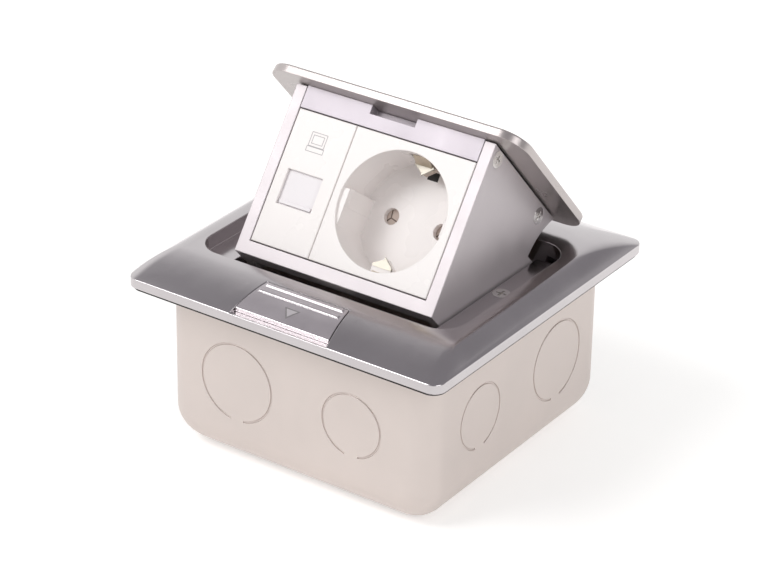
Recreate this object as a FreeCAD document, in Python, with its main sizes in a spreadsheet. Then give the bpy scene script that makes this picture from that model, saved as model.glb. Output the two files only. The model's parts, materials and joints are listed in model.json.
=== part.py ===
"""Pop-up floor socket box, modelled open.

A drawn steel back box is sunk in the floor. A cast cover plate closes it, and a lid in the plate
carries a tilting frame with a data outlet and a power socket. The frame turns on a pin under the
rear of the plate, two torsion springs lift it, and a sliding latch at the front holds it down.

Axes: X to the right, Y to the back, Z up. The origin is the middle of the box's underside.
The tilting parts are drawn shut, with the lid level, and are placed open.
Sizes are millimetres and degrees.
"""
import FreeCAD
import Part
import Sketcher
import math
import os
import re

# name: (size, what it is)
SIZES = {
    # back box
    "box_width": (102.6, "back box, outside, along X"),
    "box_length": (102.6, "back box, outside, along Y"),
    "box_height": (56.6, "back box, underside to open rim"),
    "box_wall": (1.2, "back box sheet"),
    "box_corner": (9.5, "back box upright corners, outside radius"),
    "box_bend": (13.0, "back box floor bend, outside radius"),
    "knockout_height": (30.5, "knockout centres above the underside"),
    "knockout_offset": (22.3, "knockout centres from the middle of a side"),
    "large_knockout": (14.0, "large knockout, outside radius of its score line"),
    "small_knockout": (11.3, "small knockout, outside radius of its score line"),
    "knockout_line": (0.6, "width of a knockout's score line"),
    "knockout_score": (0.5, "depth of a knockout's score line"),
    "knockout_tab": (5.0, "width of the tab that holds a knockout"),
    "anchor_spacing": (60.0, "floor anchor holes, apart"),
    "anchor_radius": (2.4, "floor anchor holes"),
    # seal
    "gasket_thickness": (0.9, "seal under the plate"),
    "gasket_inset": (0.7, "seal edge inside the plate edge"),
    # cover plate
    "plate_width": (120.0, "cover plate along X"),
    "plate_length": (120.0, "cover plate along Y"),
    "plate_rim": (3.2, "upright edge of the plate"),
    "plate_rise": (5.3, "crown above the upright edge"),
    "plate_corner": (4.5, "plate corners at the edge"),
    "crown_side": (7.0, "slope width at the sides"),
    "crown_front": (18.5, "slope width at the front"),
    "crown_rear": (17.5, "slope width at the back"),
    "crown_front_corner": (2.2, "crown corner radius at the front"),
    "crown_rear_corner": (17.0, "crown corner radius at the back"),
    "crown_bulge_place": (0.45, "share of the slope's width where the crown bulges"),
    "crown_bulge": (0.66, "share of the rise that is reached there"),
    "recess_width": (98.6, "lid recess along X"),
    "recess_front": (38.0, "lid recess, front wall from the middle"),
    "recess_rear": (31.4, "lid recess, rear wall from the middle"),
    "recess_corner": (9.0, "lid recess corners"),
    "ledge_depth": (5.0, "side ledges below the crown"),
    "mouth_width": (77.4, "mouth between the ledges"),
    "ledge_end": (28.0, "rear end of the ledges from the middle"),
    "mouth_end_width": (92.0, "mouth behind the ledges"),
    "rear_pocket_wall": (2.4, "wall between the recess and the pocket under the plate"),
    "rear_pocket_end": (48.6, "rear end of that pocket from the middle"),
    "rear_pocket_width": (90.0, "width of that pocket"),
    "rear_pocket_depth": (5.0, "depth of that pocket"),
    "rear_pocket_corner": (2.0, "front corners of that pocket"),
    "rear_pocket_rear_corner": (4.0, "rear corners of that pocket"),
    # fixing of the plate to the box
    "ear_width": (14.0, "fixing ears along Y"),
    "ear_sheet": (1.5, "fixing ear sheet"),
    "ear_reach": (3.2, "fixing ears past the middle of the plate screws"),
    "ear_drop": (13.0, "fixing ears down the box wall"),
    "ear_gap": (0.1, "fixing ears below the box rim"),
    "ear_bend": (2.5, "fixing ear bend, outside radius"),
    "fixing_place_x": (42.3, "plate screws from the middle, along X"),
    "fixing_place_y": (1.5, "plate screws from the middle, along Y"),
    "fixing_shank": (1.75, "plate screw shank radius"),
    "fixing_head": (3.0, "plate screw head radius"),
    "fixing_head_height": (1.8, "plate screw head height"),
    "fixing_length": (15.0, "plate screw length"),
    # earth screw in the box
    "earth_place_x": (-30.0, "earth screw along X"),
    "earth_place_y": (34.0, "earth screw along Y"),
    "earth_shank": (2.0, "earth screw shank radius"),
    "earth_head": (3.9, "earth screw head radius"),
    "earth_head_height": (2.6, "earth screw head height"),
    "earth_washer": (4.6, "earth washer radius"),
    "earth_washer_thickness": (0.8, "earth washer thickness"),
    "earth_nut": (4.2, "earth nut, half across its corners"),
    "earth_nut_height": (3.0, "earth nut height"),
    # hinge
    "hinge_place": (40.0, "hinge axis from the middle, along Y"),
    "hinge_drop": (8.5, "hinge axis below the plate's underside"),
    "open_angle": (48.0, "turn of the frame from shut to open"),
    "pin_radius": (2.0, "hinge pin"),
    "pin_play": (0.05, "hinge bores, radial clearance on the pin"),
    "pin_overhang": (2.4, "hinge pin past the bracket ears"),
    "bracket_sheet": (1.5, "hinge bracket sheet"),
    "bracket_front": (34.0, "hinge bracket front edge from the middle"),
    "bracket_rear": (48.0, "hinge bracket rear edge from the middle"),
    "bracket_ear_foot": (5.2, "bracket ears below the hinge axis"),
    "stop_drop": (4.1, "stop flange below the plate's underside"),
    "bracket_screw_row": (42.0, "bracket screws from the middle, along Y"),
    "washer_thickness": (1.0, "hinge washers"),
    "washer_radius": (4.0, "hinge washers"),
    "side_play": (0.1, "play beside the hinge washers"),
    "clip_thickness": (0.8, "pin clips"),
    "clip_radius": (3.6, "pin clips"),
    "bracket_screw_place": (20.0, "bracket screws from the middle"),
    "bracket_screw_shank": (1.5, "bracket screw shank radius"),
    "bracket_screw_head": (2.8, "bracket screw head radius"),
    "bracket_screw_head_height": (1.8, "bracket screw head height"),
    "bracket_screw_length": (5.0, "bracket screw under its head"),
    "boss_radius": (4.0, "bosses under the plate"),
    "spring_coil": (3.1, "torsion spring, wire centre radius"),
    "spring_wire": (0.45, "torsion spring wire radius"),
    "spring_length": (7.2, "torsion springs along the pin"),
    "spring_place": (25.0, "torsion springs from the middle"),
    "spring_leg": (9.0, "torsion spring legs"),
    # tilting frame
    "lid_gap": (0.4, "lid to recess"),
    "lid_thickness": (3.0, "lid"),
    "lid_length": (64.0, "lid along Y"),
    "lid_edge": (0.5, "lid edge chamfer"),
    "lid_overhang": (5.8, "lid in front of the face"),
    "cheek_gap": (0.4, "cheeks below the lid"),
    "face_slant": (12.0, "face from upright when shut"),
    "frame_width": (76.2, "tilting frame along X"),
    "window_width": (68.0, "between the cheeks"),
    "sill_height": (4.5, "sill below the outlets"),
    "sill_depth": (6.0, "sill from front to back"),
    "foot_depth": (11.9, "cheeks from front to back at the bottom"),
    "knee_back": (32.0, "lower knee of the cheeks, in front of the hinge axis"),
    "knee_down": (29.0, "lower knee of the cheeks, below the hinge axis"),
    "swing_radius": (22.0, "rear edge of the cheeks about the hinge axis"),
    "arm_top": (2.5, "top of the arms below the hinge axis, when shut"),
    "arm_foot": (5.5, "foot of the arms below the hinge axis, when shut"),
    "arm_root": (6.0, "arms meet their bosses in front of the hinge axis"),
    "boss_outside": (5.0, "hinge boss of the arms"),
    "bar_gap": (0.1, "bars to cheeks"),
    "top_bar_depth": (9.0, "top bar from front to back"),
    "top_bar_height": (7.5, "top bar along the face"),
    "notch_width": (17.0, "latch notch"),
    "notch_height": (2.8, "latch notch below the lid"),
    "notch_depth": (4.2, "latch notch from the face backwards"),
    "rear_bar_place": (12.5, "rear bar from the middle, along Y"),
    "rear_bar_depth": (9.0, "rear bar from front to back"),
    "rear_bar_height": (8.0, "rear bar"),
    "frame_screw_shank": (1.5, "cheek screw shank radius"),
    "frame_screw_head": (2.9, "cheek screw head radius"),
    "frame_screw_head_height": (1.6, "cheek screw head height"),
    "frame_screw_length": (11.0, "cheek screw length"),
    "front_screw_back": (5.3, "front cheek screws behind the face's top edge"),
    "front_screw_down": (3.4, "front cheek screws below the lid"),
    "rear_screw_down": (4.3, "rear cheek screws below the lid"),
    "lid_screw_place": (22.0, "lid screws from the middle"),
    "lid_screw_shank": (1.25, "lid screw shank radius"),
    "lid_screw_head": (2.2, "lid screw head radius"),
    "lid_screw_head_height": (1.5, "lid screw head height"),
    "lid_screw_grip": (3.2, "bar left between a lid screw's head and the lid"),
    "lid_screw_bite": (1.8, "lid screws into the lid"),
    "thread_play": (0.02, "screw to its hole"),
    # latch
    "latch_front": (57.4, "front of the latch button from the middle"),
    "latch_length": (13.6, "latch button along Y"),
    "latch_front_width": (35.8, "latch button at its front"),
    "latch_rear_width": (31.4, "latch button at its rear"),
    "latch_play": (0.25, "latch button to its pocket"),
    "latch_travel": (2.5, "latch travel"),
    "latch_floor": (1.2, "floor of the latch pocket"),
    "latch_lift": (0.05, "running gap over and under that floor"),
    "grip_rib": (1.3, "grip ribs along Y"),
    "grip_rib_height": (0.5, "grip ribs above the button"),
    "grip_rib_pitch": (3.3, "grip ribs apart"),
    "stem_width": (18.0, "latch stem along X"),
    "stem_length": (6.0, "latch stem along Y"),
    "stem_front": (53.0, "front of the latch stem from the middle"),
    "bolt_sheet": (1.5, "latch bolt plate"),
    "bolt_front": (55.0, "front of the latch bolt from the middle"),
    "bolt_room": (1.0, "room beside the bolt in the pocket under the plate"),
    "bolt_pocket_wall": (1.2, "wall between that pocket and the recess"),
    "riser_front": (36.5, "front of the tongue's root from the middle"),
    "bolt_width": (20.0, "latch bolt plate along X"),
    "bolt_wing_width": (28.0, "latch bolt across its spring lugs"),
    "bolt_wing_front": (42.0, "front of the spring lugs from the middle"),
    "bolt_wing_rear": (39.7, "rear of the spring lugs from the middle"),
    "tongue_width": (15.0, "latch tongue"),
    "tongue_root": (33.0, "rear of the tongue's thick root from the middle"),
    "tongue_tip": (30.5, "tip of the tongue from the middle"),
    "tongue_clearance": (0.4, "tongue over the notch"),
    "tongue_thickness": (1.5, "latch tongue"),
    "tongue_window_play": (0.5, "tongue to its window in the recess wall"),
    "lug_drop": (4.0, "spring lugs below the bolt plate"),
    "lug_width": (3.2, "spring lugs along X"),
    "lug_sheet": (1.5, "spring lugs along Y"),
    "fixed_lug_front": (49.3, "fixed spring lugs, front from the middle"),
    "latch_spring_coil": (1.2, "latch spring, wire centre radius"),
    "latch_spring_wire": (0.2, "latch spring wire radius"),
    "latch_screw_place": (6.0, "latch screws from the middle"),
    "latch_screw_shank": (1.0, "latch screw shank radius"),
    "latch_screw_head": (1.9, "latch screw head radius"),
    "latch_screw_head_height": (1.0, "latch screw head height"),
    "latch_screw_length": (4.2, "latch screw length"),
    # outlets
    "insert_size": (45.0, "outlet module"),
    "insert_gap": (0.3, "outlet modules to the frame"),
    "insert_joint": (0.1, "outlet modules to the joint between them"),
    "fascia_thickness": (3.0, "outlet fronts"),
    "fascia_edge": (0.4, "outlet front edges"),
    "hook_barb": (0.7, "snap hooks past the frame's edge"),
    "hook_play": (0.1, "snap hooks behind the frame"),
    "hook_tip": (1.8, "snap hooks, length of the barb"),
    "socket_hook_width": (8.0, "snap hooks of the power outlet"),
    "data_hook_width": (6.0, "snap hooks of the data outlet"),
    "post_radius": (2.6, "screw posts of the power outlet"),
    "post_bore": (1.27, "bores of those posts"),
    "post_place": (18.6, "screw posts from the socket's middle, both ways"),
    "assembly_shank": (1.25, "assembly screw shank radius"),
    "assembly_head": (2.3, "assembly screw head radius"),
    "assembly_head_height": (1.5, "assembly screw head height"),
    "assembly_length": (22.0, "assembly screw under its head"),
    "cup_radius": (19.7, "power socket recess"),
    "cup_depth": (17.5, "power socket recess"),
    "cup_wall": (1.5, "power socket recess wall"),
    "cup_floor": (2.2, "power socket recess floor"),
    "pin_hole_radius": (2.7, "pin holes"),
    "pin_hole_spacing": (19.0, "pin holes apart"),
    "guide_rib_width": (6.0, "guide ribs of the recess"),
    "guide_rib_reach": (2.4, "guide ribs into the recess"),
    "guide_rib_start": (3.0, "guide ribs below the socket's face"),
    "clip_slot_width": (8.0, "slots for the earth clips"),
    "clip_slot_start": (4.0, "slots for the earth clips, below the socket's face"),
    "base_size": (42.0, "power socket base"),
    "base_depth": (13.2, "power socket base behind the recess"),
    "base_gap": (0.1, "power socket base behind the recess floor"),
    "shutter_width": (26.4, "pin shutter"),
    "shutter_height": (7.2, "pin shutter"),
    "shutter_thickness": (1.8, "pin shutter"),
    "shutter_travel": (6.4, "pin shutter travel"),
    "shutter_play": (0.3, "pin shutter to its pocket"),
    "shutter_spring_room": (2.4, "pin shutter spring when pushed shut"),
    "shutter_spring_coil": (0.7, "pin shutter spring, wire centre radius"),
    "shutter_spring_wire": (0.15, "pin shutter spring wire radius"),
    "contact_radius": (3.1, "pin contacts"),
    "contact_bore": (2.35, "pin contact bores"),
    "contact_strap": (0.8, "pin contacts' straps"),
    "contact_strap_width": (6.0, "pin contacts' straps"),
    "contact_slit": (1.0, "slits in the pin contacts"),
    "contact_play": (0.1, "pin contacts to their chambers"),
    "strap_sheet": (0.7, "earth strap"),
    "strap_width": (6.0, "earth strap"),
    "strap_gap": (0.3, "earth strap to the base"),
    "strap_place": (20.0, "earth strap arms from the socket's middle"),
    "clip_middle": (11.0, "earth clips, apex below the socket's face"),
    "clip_apex": (16.6, "earth clips, apex from the socket's middle"),
    "clip_foot": (19.6, "earth clips, feet from the socket's middle"),
    "clip_front": (5.5, "earth clips, front end below the socket's face"),
    "clip_rear": (16.8, "earth clips, rear end below the socket's face"),
    "terminal_place": (13.0, "terminal screws from the socket's middle"),
    "terminal_down": (15.0, "terminal screws below the socket's middle"),
    "terminal_shank": (1.6, "terminal screw shank radius"),
    "terminal_head": (2.6, "terminal screw head radius"),
    "terminal_head_height": (1.6, "terminal screw head height"),
    "terminal_length": (5.0, "terminal screw under its head"),
    "data_width": (22.5, "data outlet"),
    "data_window_width": (13.6, "data outlet window"),
    "data_window_height": (11.6, "data outlet window"),
    "data_window_place": (18.6, "data outlet window, lower edge above the face's lower edge"),
    "data_window_shift": (0.5, "data outlet window left of its module's middle"),
    "data_skin": (1.0, "data outlet front over its shutter"),
    "dust_shutter_overlap": (0.7, "dust shutter past the window on each side"),
    "dust_shutter_thickness": (1.2, "dust shutter"),
    "dust_shutter_travel": (9.8, "dust shutter travel"),
    "dust_shutter_play": (0.2, "dust shutter to its pocket"),
    "dust_lip_height": (1.2, "finger lip of the dust shutter, along the face"),
    "dust_lip_reach": (0.8, "finger lip of the dust shutter, forwards"),
    "dust_spring_room": (2.6, "dust shutter spring when pushed up"),
    "dust_spring_coil": (0.4, "dust shutter spring, wire centre radius"),
    "dust_spring_wire": (0.12, "dust shutter spring wire radius"),
    "carrier_thickness": (1.8, "jack carrier behind the data outlet's front"),
    "carrier_gap": (0.05, "jack carrier behind the data outlet's front"),
    "jack_width": (14.8, "data jack"),
    "jack_height": (16.0, "data jack"),
    "jack_depth": (26.0, "data jack"),
    "jack_mouth_width": (11.8, "data jack mouth"),
    "jack_mouth_height": (8.2, "data jack mouth"),
    "jack_mouth_depth": (13.5, "data jack mouth"),
    "jack_mouth_up": (2.3, "data jack mouth above the window's lower edge"),
    "jack_key_width": (6.2, "key slot under the data jack mouth"),
    "jack_key_depth": (1.6, "key slot under the data jack mouth"),
    "contact_pitch": (1.02, "data contacts apart"),
    "data_contact_width": (0.4, "data contacts"),
    "cap_depth": (4.0, "jack cap"),
    "cap_inset": (0.8, "jack cap inside the jack's outline"),
    "hook_depth": (8.0, "carrier hooks along the jack"),
    "hook_sheet": (1.2, "carrier hooks"),
}

DOC = FreeCAD.newDocument("floor_socket_box")
SHEET = DOC.addObject("Spreadsheet::Sheet", "sizes")
for row, (alias, (size, meaning)) in enumerate(SIZES.items(), start=1):
    SHEET.set(f"A{row}", alias)
    SHEET.set(f"B{row}", str(size))
    SHEET.set(f"C{row}", meaning)
    SHEET.setAlias(f"B{row}", alias)
DOC.recompute()

# ---------------------------------------------------------------- formulas and drawing helpers

WORDS = re.compile(r"[a-z]+(?:_[a-z]+)+|[a-z]+")


def formula(text):
    """The expression of a formula that is written with the plain names of the sizes."""
    return WORDS.sub(lambda word: f"sizes.{word[0]}" if word[0] in SIZES else word[0], str(text))


def value(text):
    """The number that a formula gives."""
    return float(SHEET.evalExpression(formula(text)))


def bind(thing, prop, text):
    """Tie a property to a formula."""
    thing.setExpression(prop, formula(text))


def add(kind, name):
    """A new object, named and labelled alike."""
    thing = DOC.addObject(kind, name)
    thing.Label = name
    return thing


def sketch_on(body, name, role, height="0"):
    """An empty sketch on one of its body's origin planes, lifted along the plane's normal."""
    drawing = body.newObject("Sketcher::SketchObject", name)
    plane = [item for item in body.Origin.OriginFeatures if item.Role == role][0]
    drawing.AttachmentSupport = [(plane, "")]
    drawing.MapMode = "FlatFace"
    bind(drawing, "AttachmentOffset.Base.z", height)
    DOC.recompute()
    return drawing


def dimension(drawing, kind, refs, text):
    """A driving dimension that follows a formula."""
    number = drawing.addConstraint(Sketcher.Constraint(kind, *refs, value(text)))
    drawing.setExpression(f"Constraints[{number}]", formula(text))


def pin_point(drawing, edge, end, across, along):
    """Fix a point of an edge by its two coordinates."""
    dimension(drawing, "DistanceX", (-1, 1, edge, end), across)
    dimension(drawing, "DistanceY", (-1, 1, edge, end), along)


def draw_outline(drawing, points):
    """A closed outline through points given as formulas.

    A third formula in a point is the radius of the arc that leads to the next point, which turns
    clockwise if the radius is negative. Other edges are straight.
    """
    corners = [FreeCAD.Vector(value(point[0]), value(point[1]), 0) for point in points]
    edges = []
    for i, (point, here) in enumerate(zip(points, corners)):
        there = corners[(i + 1) % len(corners)]
        if len(point) == 2:
            edges.append((drawing.addGeometry(Part.LineSegment(here, there)), 1, 2))
            continue
        radius = value(point[2])
        start, end = (here, there) if radius > 0 else (there, here)
        chord = end - start
        rise = math.sqrt(radius ** 2 - (chord.Length / 2) ** 2) / chord.Length
        middle = (start + end) * 0.5 + FreeCAD.Vector(-chord.y, chord.x, 0) * rise
        first, last = (math.atan2(tip.y - middle.y, tip.x - middle.x) for tip in (start, end))
        ring = Part.Circle(middle, FreeCAD.Vector(0, 0, 1), abs(radius))
        arc = Part.ArcOfCircle(ring, first, last if last > first else last + 2 * math.pi)
        edges.append((drawing.addGeometry(arc), *((1, 2) if radius > 0 else (2, 1))))
    for i, (edge, _, end) in enumerate(edges):
        following, start, _ = edges[(i + 1) % len(edges)]
        drawing.addConstraint(Sketcher.Constraint("Coincident", edge, end, following, start))
    for (edge, start, _), point in zip(edges, points):
        pin_point(drawing, edge, start, point[0], point[1])
        if len(point) == 3:
            dimension(drawing, "Radius", (edge,), f"abs({point[2]})")


def draw_rectangle(drawing, west, east, south, north):
    """A plain rectangle between four formulas."""
    draw_outline(drawing, [(west, south), (east, south), (east, north), (west, north)])


def draw_circle(drawing, across, along, radius):
    """A circle about a point."""
    centre = FreeCAD.Vector(value(across), value(along), 0)
    ring = drawing.addGeometry(Part.Circle(centre, FreeCAD.Vector(0, 0, 1), value(radius)))
    pin_point(drawing, ring, 3, across, along)
    dimension(drawing, "Radius", (ring,), radius)


def draw_rounded_rectangle(drawing, west, east, south, north, front_radius, rear_radius):
    """A rectangle with one corner radius on its south side and one on its north side."""
    w, e, s, n = value(west), value(east), value(south), value(north)
    up = FreeCAD.Vector(0, 0, 1)
    corners = [(e, s, -1, 1, front_radius, 270), (e, n, -1, -1, rear_radius, 0),
               (w, n, 1, -1, rear_radius, 90), (w, s, 1, 1, front_radius, 180)]
    arcs = []
    for x, y, inward_x, inward_y, radius, start in corners:
        r = value(radius)
        middle = FreeCAD.Vector(x + inward_x * r, y + inward_y * r, 0)
        first = math.radians(start)
        quarter = Part.ArcOfCircle(Part.Circle(middle, up, r), first, first + math.pi / 2)
        arcs.append(drawing.addGeometry(quarter))
    lines = []
    for i, arc in enumerate(arcs):
        here, there = drawing.Geometry[arcs[i - 1]], drawing.Geometry[arc]
        lines.append(drawing.addGeometry(Part.LineSegment(here.EndPoint, there.StartPoint)))
    for i, arc in enumerate(arcs):
        drawing.addConstraint(Sketcher.Constraint("Tangent", lines[i], 2, arc, 1))
        drawing.addConstraint(Sketcher.Constraint("Tangent", arc, 2, lines[(i + 1) % 4], 1))
        drawing.addConstraint(Sketcher.Constraint("Horizontal" if i % 2 == 0 else "Vertical", lines[i]))
        dimension(drawing, "Radius", (arc,), corners[i][4])
    dimension(drawing, "DistanceY", (-1, 1, lines[0], 1), south)
    dimension(drawing, "DistanceX", (-1, 1, lines[1], 1), east)
    dimension(drawing, "DistanceY", (-1, 1, lines[2], 1), north)
    dimension(drawing, "DistanceX", (-1, 1, lines[3], 1), west)


def draw_score_ring(drawing, across, along, radius, line, tab):
    """A ring-shaped score line that stops short of a tab at its foot."""
    outer, inner, half = value(radius), value(f"{radius} - {line}"), value(f"{tab} / 2")
    centre = FreeCAD.Vector(value(across), value(along), 0)
    up = FreeCAD.Vector(0, 0, 1)
    arcs = []
    for r in (outer, inner):
        foot = math.asin(half / r)
        start, end = -math.pi / 2 + foot, 3 * math.pi / 2 - foot
        arcs.append(drawing.addGeometry(Part.ArcOfCircle(Part.Circle(centre, up, r), start, end)))
    big, small = arcs
    for end in (1, 2):
        rings = [drawing.Geometry[arc] for arc in arcs]
        points = [ring.StartPoint if end == 1 else ring.EndPoint for ring in rings]
        side = drawing.addGeometry(Part.LineSegment(*points))
        drawing.addConstraint(Sketcher.Constraint("Coincident", big, end, side, 1))
        drawing.addConstraint(Sketcher.Constraint("Coincident", small, end, side, 2))
        drawing.addConstraint(Sketcher.Constraint("Vertical", side))
    drawing.addConstraint(Sketcher.Constraint("Coincident", big, 3, small, 3))
    pin_point(drawing, big, 3, across, along)
    dimension(drawing, "Radius", (big,), radius)
    dimension(drawing, "Radius", (small,), f"{radius} - {line}")
    dimension(drawing, "DistanceX", (big, 3, big, 1), f"{tab} / 2")
    dimension(drawing, "DistanceX", (big, 2, big, 3), f"{tab} / 2")


def new_body(name):
    """An empty part design body."""
    return add("PartDesign::Body", name)


def feature(body, kind, drawing, **settings):
    """A sketch-based feature; a Length setting may be a formula."""
    step = body.newObject(kind, f"{drawing.Name}_step")
    step.Profile = drawing
    for prop, setting in settings.items():
        if prop == "Length":
            bind(step, prop, setting)
        else:
            setattr(step, prop, setting)
    drawing.Visibility = False
    DOC.recompute()
    return step


def pad(body, drawing, length, **settings):
    """Raise a sketch by a length."""
    return feature(body, "PartDesign::Pad", drawing, Length=length, **settings)


def pocket(body, drawing, length, **settings):
    """Sink a sketch by a length, and make sure that it cut something."""
    before = body.Shape.Volume
    step = feature(body, "PartDesign::Pocket", drawing, Length=length, **settings)
    if body.Shape.Volume > before - 1e-6:
        raise ValueError(f"{drawing.Name} cuts nothing")
    return step


def round_edges(body, radius, chosen, kind="PartDesign::Fillet"):
    """Round or chamfer the edges of a body's tip that a test chooses."""
    tip = body.Tip
    names = [f"Edge{i}" for i, edge in enumerate(tip.Shape.Edges, start=1) if chosen(edge)]
    if not names:
        raise ValueError(f"no edge to round in {body.Label}")
    step = body.newObject(kind, f"{body.Name}_edges")
    step.Base = (tip, names)
    bind(step, "Radius" if kind.endswith("Fillet") else "Size", radius)
    DOC.recompute()
    return step


def block(name, x, y, z):
    """A box between three pairs of formulas."""
    solid = add("Part::Box", name)
    for prop, axis, (low, high) in (("Length", "x", x), ("Width", "y", y), ("Height", "z", z)):
        bind(solid, prop, f"({high}) - ({low})")
        bind(solid, f"Placement.Base.{axis}", low)
    return solid


TURNS = {
    "x": FreeCAD.Rotation(FreeCAD.Vector(0, 1, 0), 90),
    "-x": FreeCAD.Rotation(FreeCAD.Vector(0, 1, 0), -90),
    "y": FreeCAD.Rotation(FreeCAD.Vector(1, 0, 0), -90),
    "z": FreeCAD.Rotation(),
    "-y": FreeCAD.Rotation(FreeCAD.Vector(1, 0, 0), 90),
    "-z": FreeCAD.Rotation(FreeCAD.Vector(1, 0, 0), 180),
}


def stand(solid, place, direction):
    """Stand a solid that is drawn along Z at a place, along another direction."""
    solid.Placement = FreeCAD.Placement(FreeCAD.Vector(), TURNS[direction])
    for axis, text in zip("xyz", place):
        bind(solid, f"Placement.Base.{axis}", text)
    return solid


def rod(name, radius, length, place, direction="z"):
    """A round rod from a place along a direction."""
    solid = add("Part::Cylinder", name)
    bind(solid, "Radius", radius)
    bind(solid, "Height", length)
    return stand(solid, place, direction)


def taper(name, radius, end_radius, length, place, direction="z"):
    """A cone from a place along a direction."""
    solid = add("Part::Cone", name)
    bind(solid, "Radius1", radius)
    bind(solid, "Radius2", end_radius)
    bind(solid, "Height", length)
    return stand(solid, place, direction)


def join(name, *solids):
    """Solids made one."""
    whole = add("Part::MultiFuse", name)
    whole.Shapes = list(solids)
    whole.Refine = True
    DOC.recompute()
    return whole


def cut(name, base, *tools):
    """A solid less one or more others."""
    rest = add("Part::Cut", name)
    rest.Base = base
    rest.Tool = tools[0] if len(tools) == 1 else join(f"{name}_tools", *tools)
    rest.Refine = True
    DOC.recompute()
    if rest.Shape.Volume > base.Shape.Volume - 1e-9:
        raise ValueError(f"{name} is not cut")
    return rest


def mirror(name, solid):
    """The other hand of a solid, across the middle plane."""
    twin = add("Part::Mirroring", name)
    twin.Source = solid
    twin.Normal = FreeCAD.Vector(1, 0, 0)
    DOC.recompute()
    return twin


def pair(name, right):
    """A solid and its other hand."""
    return group(name, right, mirror(f"{name}_other_hand", right))


def group(name, *solids):
    """Separate solids that share one node."""
    whole = add("Part::Compound", name)
    whole.Links = list(solids)
    DOC.recompute()
    return whole


def screw(name, size, length, place, direction, sunk, recess=True):
    """A screw from its head's outer face along a direction.

    size is the stem of its sizes' names; sunk tells a countersunk head from a cheese head, and
    recess gives it a cross, as a head that shows has.
    """
    head_height = f"{size}_head_height"
    under = f"({length}) - {head_height}" if sunk else length
    if sunk:
        head = taper(f"{name}_head", f"{size}_head", f"{size}_shank", head_height, ("0", "0", "0"))
    else:
        head = rod(f"{name}_head", f"{size}_head", head_height, ("0", "0", "0"))
    shank = rod(f"{name}_shank", f"{size}_shank", under, ("0", "0", head_height))
    if not recess:
        return stand(join(name, head, shank), place, direction)
    reach, half = f"{size}_shank * 1.05", f"{size}_shank * 0.2"
    depth = f"{head_height} * 0.55"
    slots = [block(f"{name}_slot_a", (f"-({reach})", reach), (f"-({half})", half), ("0", depth)),
             block(f"{name}_slot_b", (f"-({half})", half), (f"-({reach})", reach), ("0", depth))]
    whole = cut(name, join(f"{name}_blank", head, shank), *slots)
    return stand(whole, place, direction)


def wound_spring(name, radius, wire, length):
    """A close-wound spring as the sleeve that its turns fill, along Z from 0 to its length."""
    outside = rod(f"{name}_outside", f"{radius} + {wire}", length, ("0", "0", "0"))
    inside = rod(f"{name}_inside", f"{radius} - {wire}", length, ("0", "0", "0"))
    return cut(name, outside, inside)


# ---------------------------------------------------------------- levels and lines that pieces share

PLATE_BASE = "(box_height + gasket_thickness)"
PLATE_EDGE = f"({PLATE_BASE} + plate_rim)"
PLATE_TOP = f"({PLATE_EDGE} + plate_rise)"
LEDGE = f"({PLATE_TOP} - ledge_depth)"
LID_UNDER = f"({PLATE_TOP} - lid_thickness)"
HINGE_HEIGHT = f"({PLATE_BASE} - hinge_drop)"
LID_FRONT = "(-recess_front + lid_gap)"
FACE_TOP = f"({LID_FRONT} + lid_overhang)"
TOP_BAR_FOOT = "(sill_height + insert_size + 2 * insert_gap)"
FACE_HEIGHT = f"({TOP_BAR_FOOT} + top_bar_height)"
FACE_FOOT = f"({FACE_TOP} + {FACE_HEIGHT} * sin(face_slant))"
FACE_FOOT_HEIGHT = f"({LID_UNDER} - {FACE_HEIGHT} * cos(face_slant))"
BOLT_TOP = f"({PLATE_EDGE} - latch_floor - latch_lift)"
BOLT_FOOT = f"({BOLT_TOP} - bolt_sheet)"
LUG_FOOT = f"({BOLT_FOOT} - lug_drop)"
NOTCH_FLOOR = f"({LID_UNDER} - notch_height)"
TONGUE_FOOT = f"({NOTCH_FLOOR} + tongue_clearance)"
TONGUE_TOP = f"({TONGUE_FOOT} + tongue_thickness)"
BRACKET_EAR = "(frame_width / 2 + washer_thickness + 2 * side_play)"
BRACKET_SIDE = f"({BRACKET_EAR} + bracket_sheet)"
CHEEK_TOP = f"({LID_UNDER} - cheek_gap)"
FACE_INSERT = "(sill_height + insert_gap)"
SOCKET_X = "(data_width / 2)"
SOCKET_MIDDLE = f"({FACE_INSERT} + insert_size / 2)"
DATA_X = "(-insert_size / 2)"
CUP_REAR = "(cup_depth + cup_floor)"
BASE_FRONT = f"({CUP_REAR} + base_gap)"
BASE_REAR = f"({BASE_FRONT} + base_depth)"
WINDOW_X = f"({DATA_X} - data_window_shift)"
WINDOW_TOP = "(data_window_place + data_window_height)"
CARRIER_FRONT = "(fascia_thickness + carrier_gap)"
JACK_FRONT = f"({CARRIER_FRONT} + carrier_thickness)"
JACK_REAR = f"({JACK_FRONT} + jack_depth)"
JACK_MIDDLE = "(data_window_place + data_window_height / 2)"

shut_to_open = FreeCAD.Placement(
    FreeCAD.Vector(), FreeCAD.Rotation(FreeCAD.Vector(1, 0, 0), -value("open_angle")),
    FreeCAD.Vector(0, value("hinge_place"), value(HINGE_HEIGHT)))
face_to_shut = FreeCAD.Placement(
    FreeCAD.Vector(0, value(FACE_FOOT), value(FACE_FOOT_HEIGHT)),
    FreeCAD.Rotation(FreeCAD.Vector(1, 0, 0), 90 + value("face_slant")))

NODES = []


def keep(solid, placement=None):
    """Hand a finished piece over, turned into its place if it belongs to the tilting frame."""
    if placement is not None:
        solid.Placement = placement.multiply(solid.Placement)
    NODES.append(solid)
    return solid


def keep_tilting(solid):
    """A piece that is drawn in the shut frame."""
    return keep(solid, shut_to_open)


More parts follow.
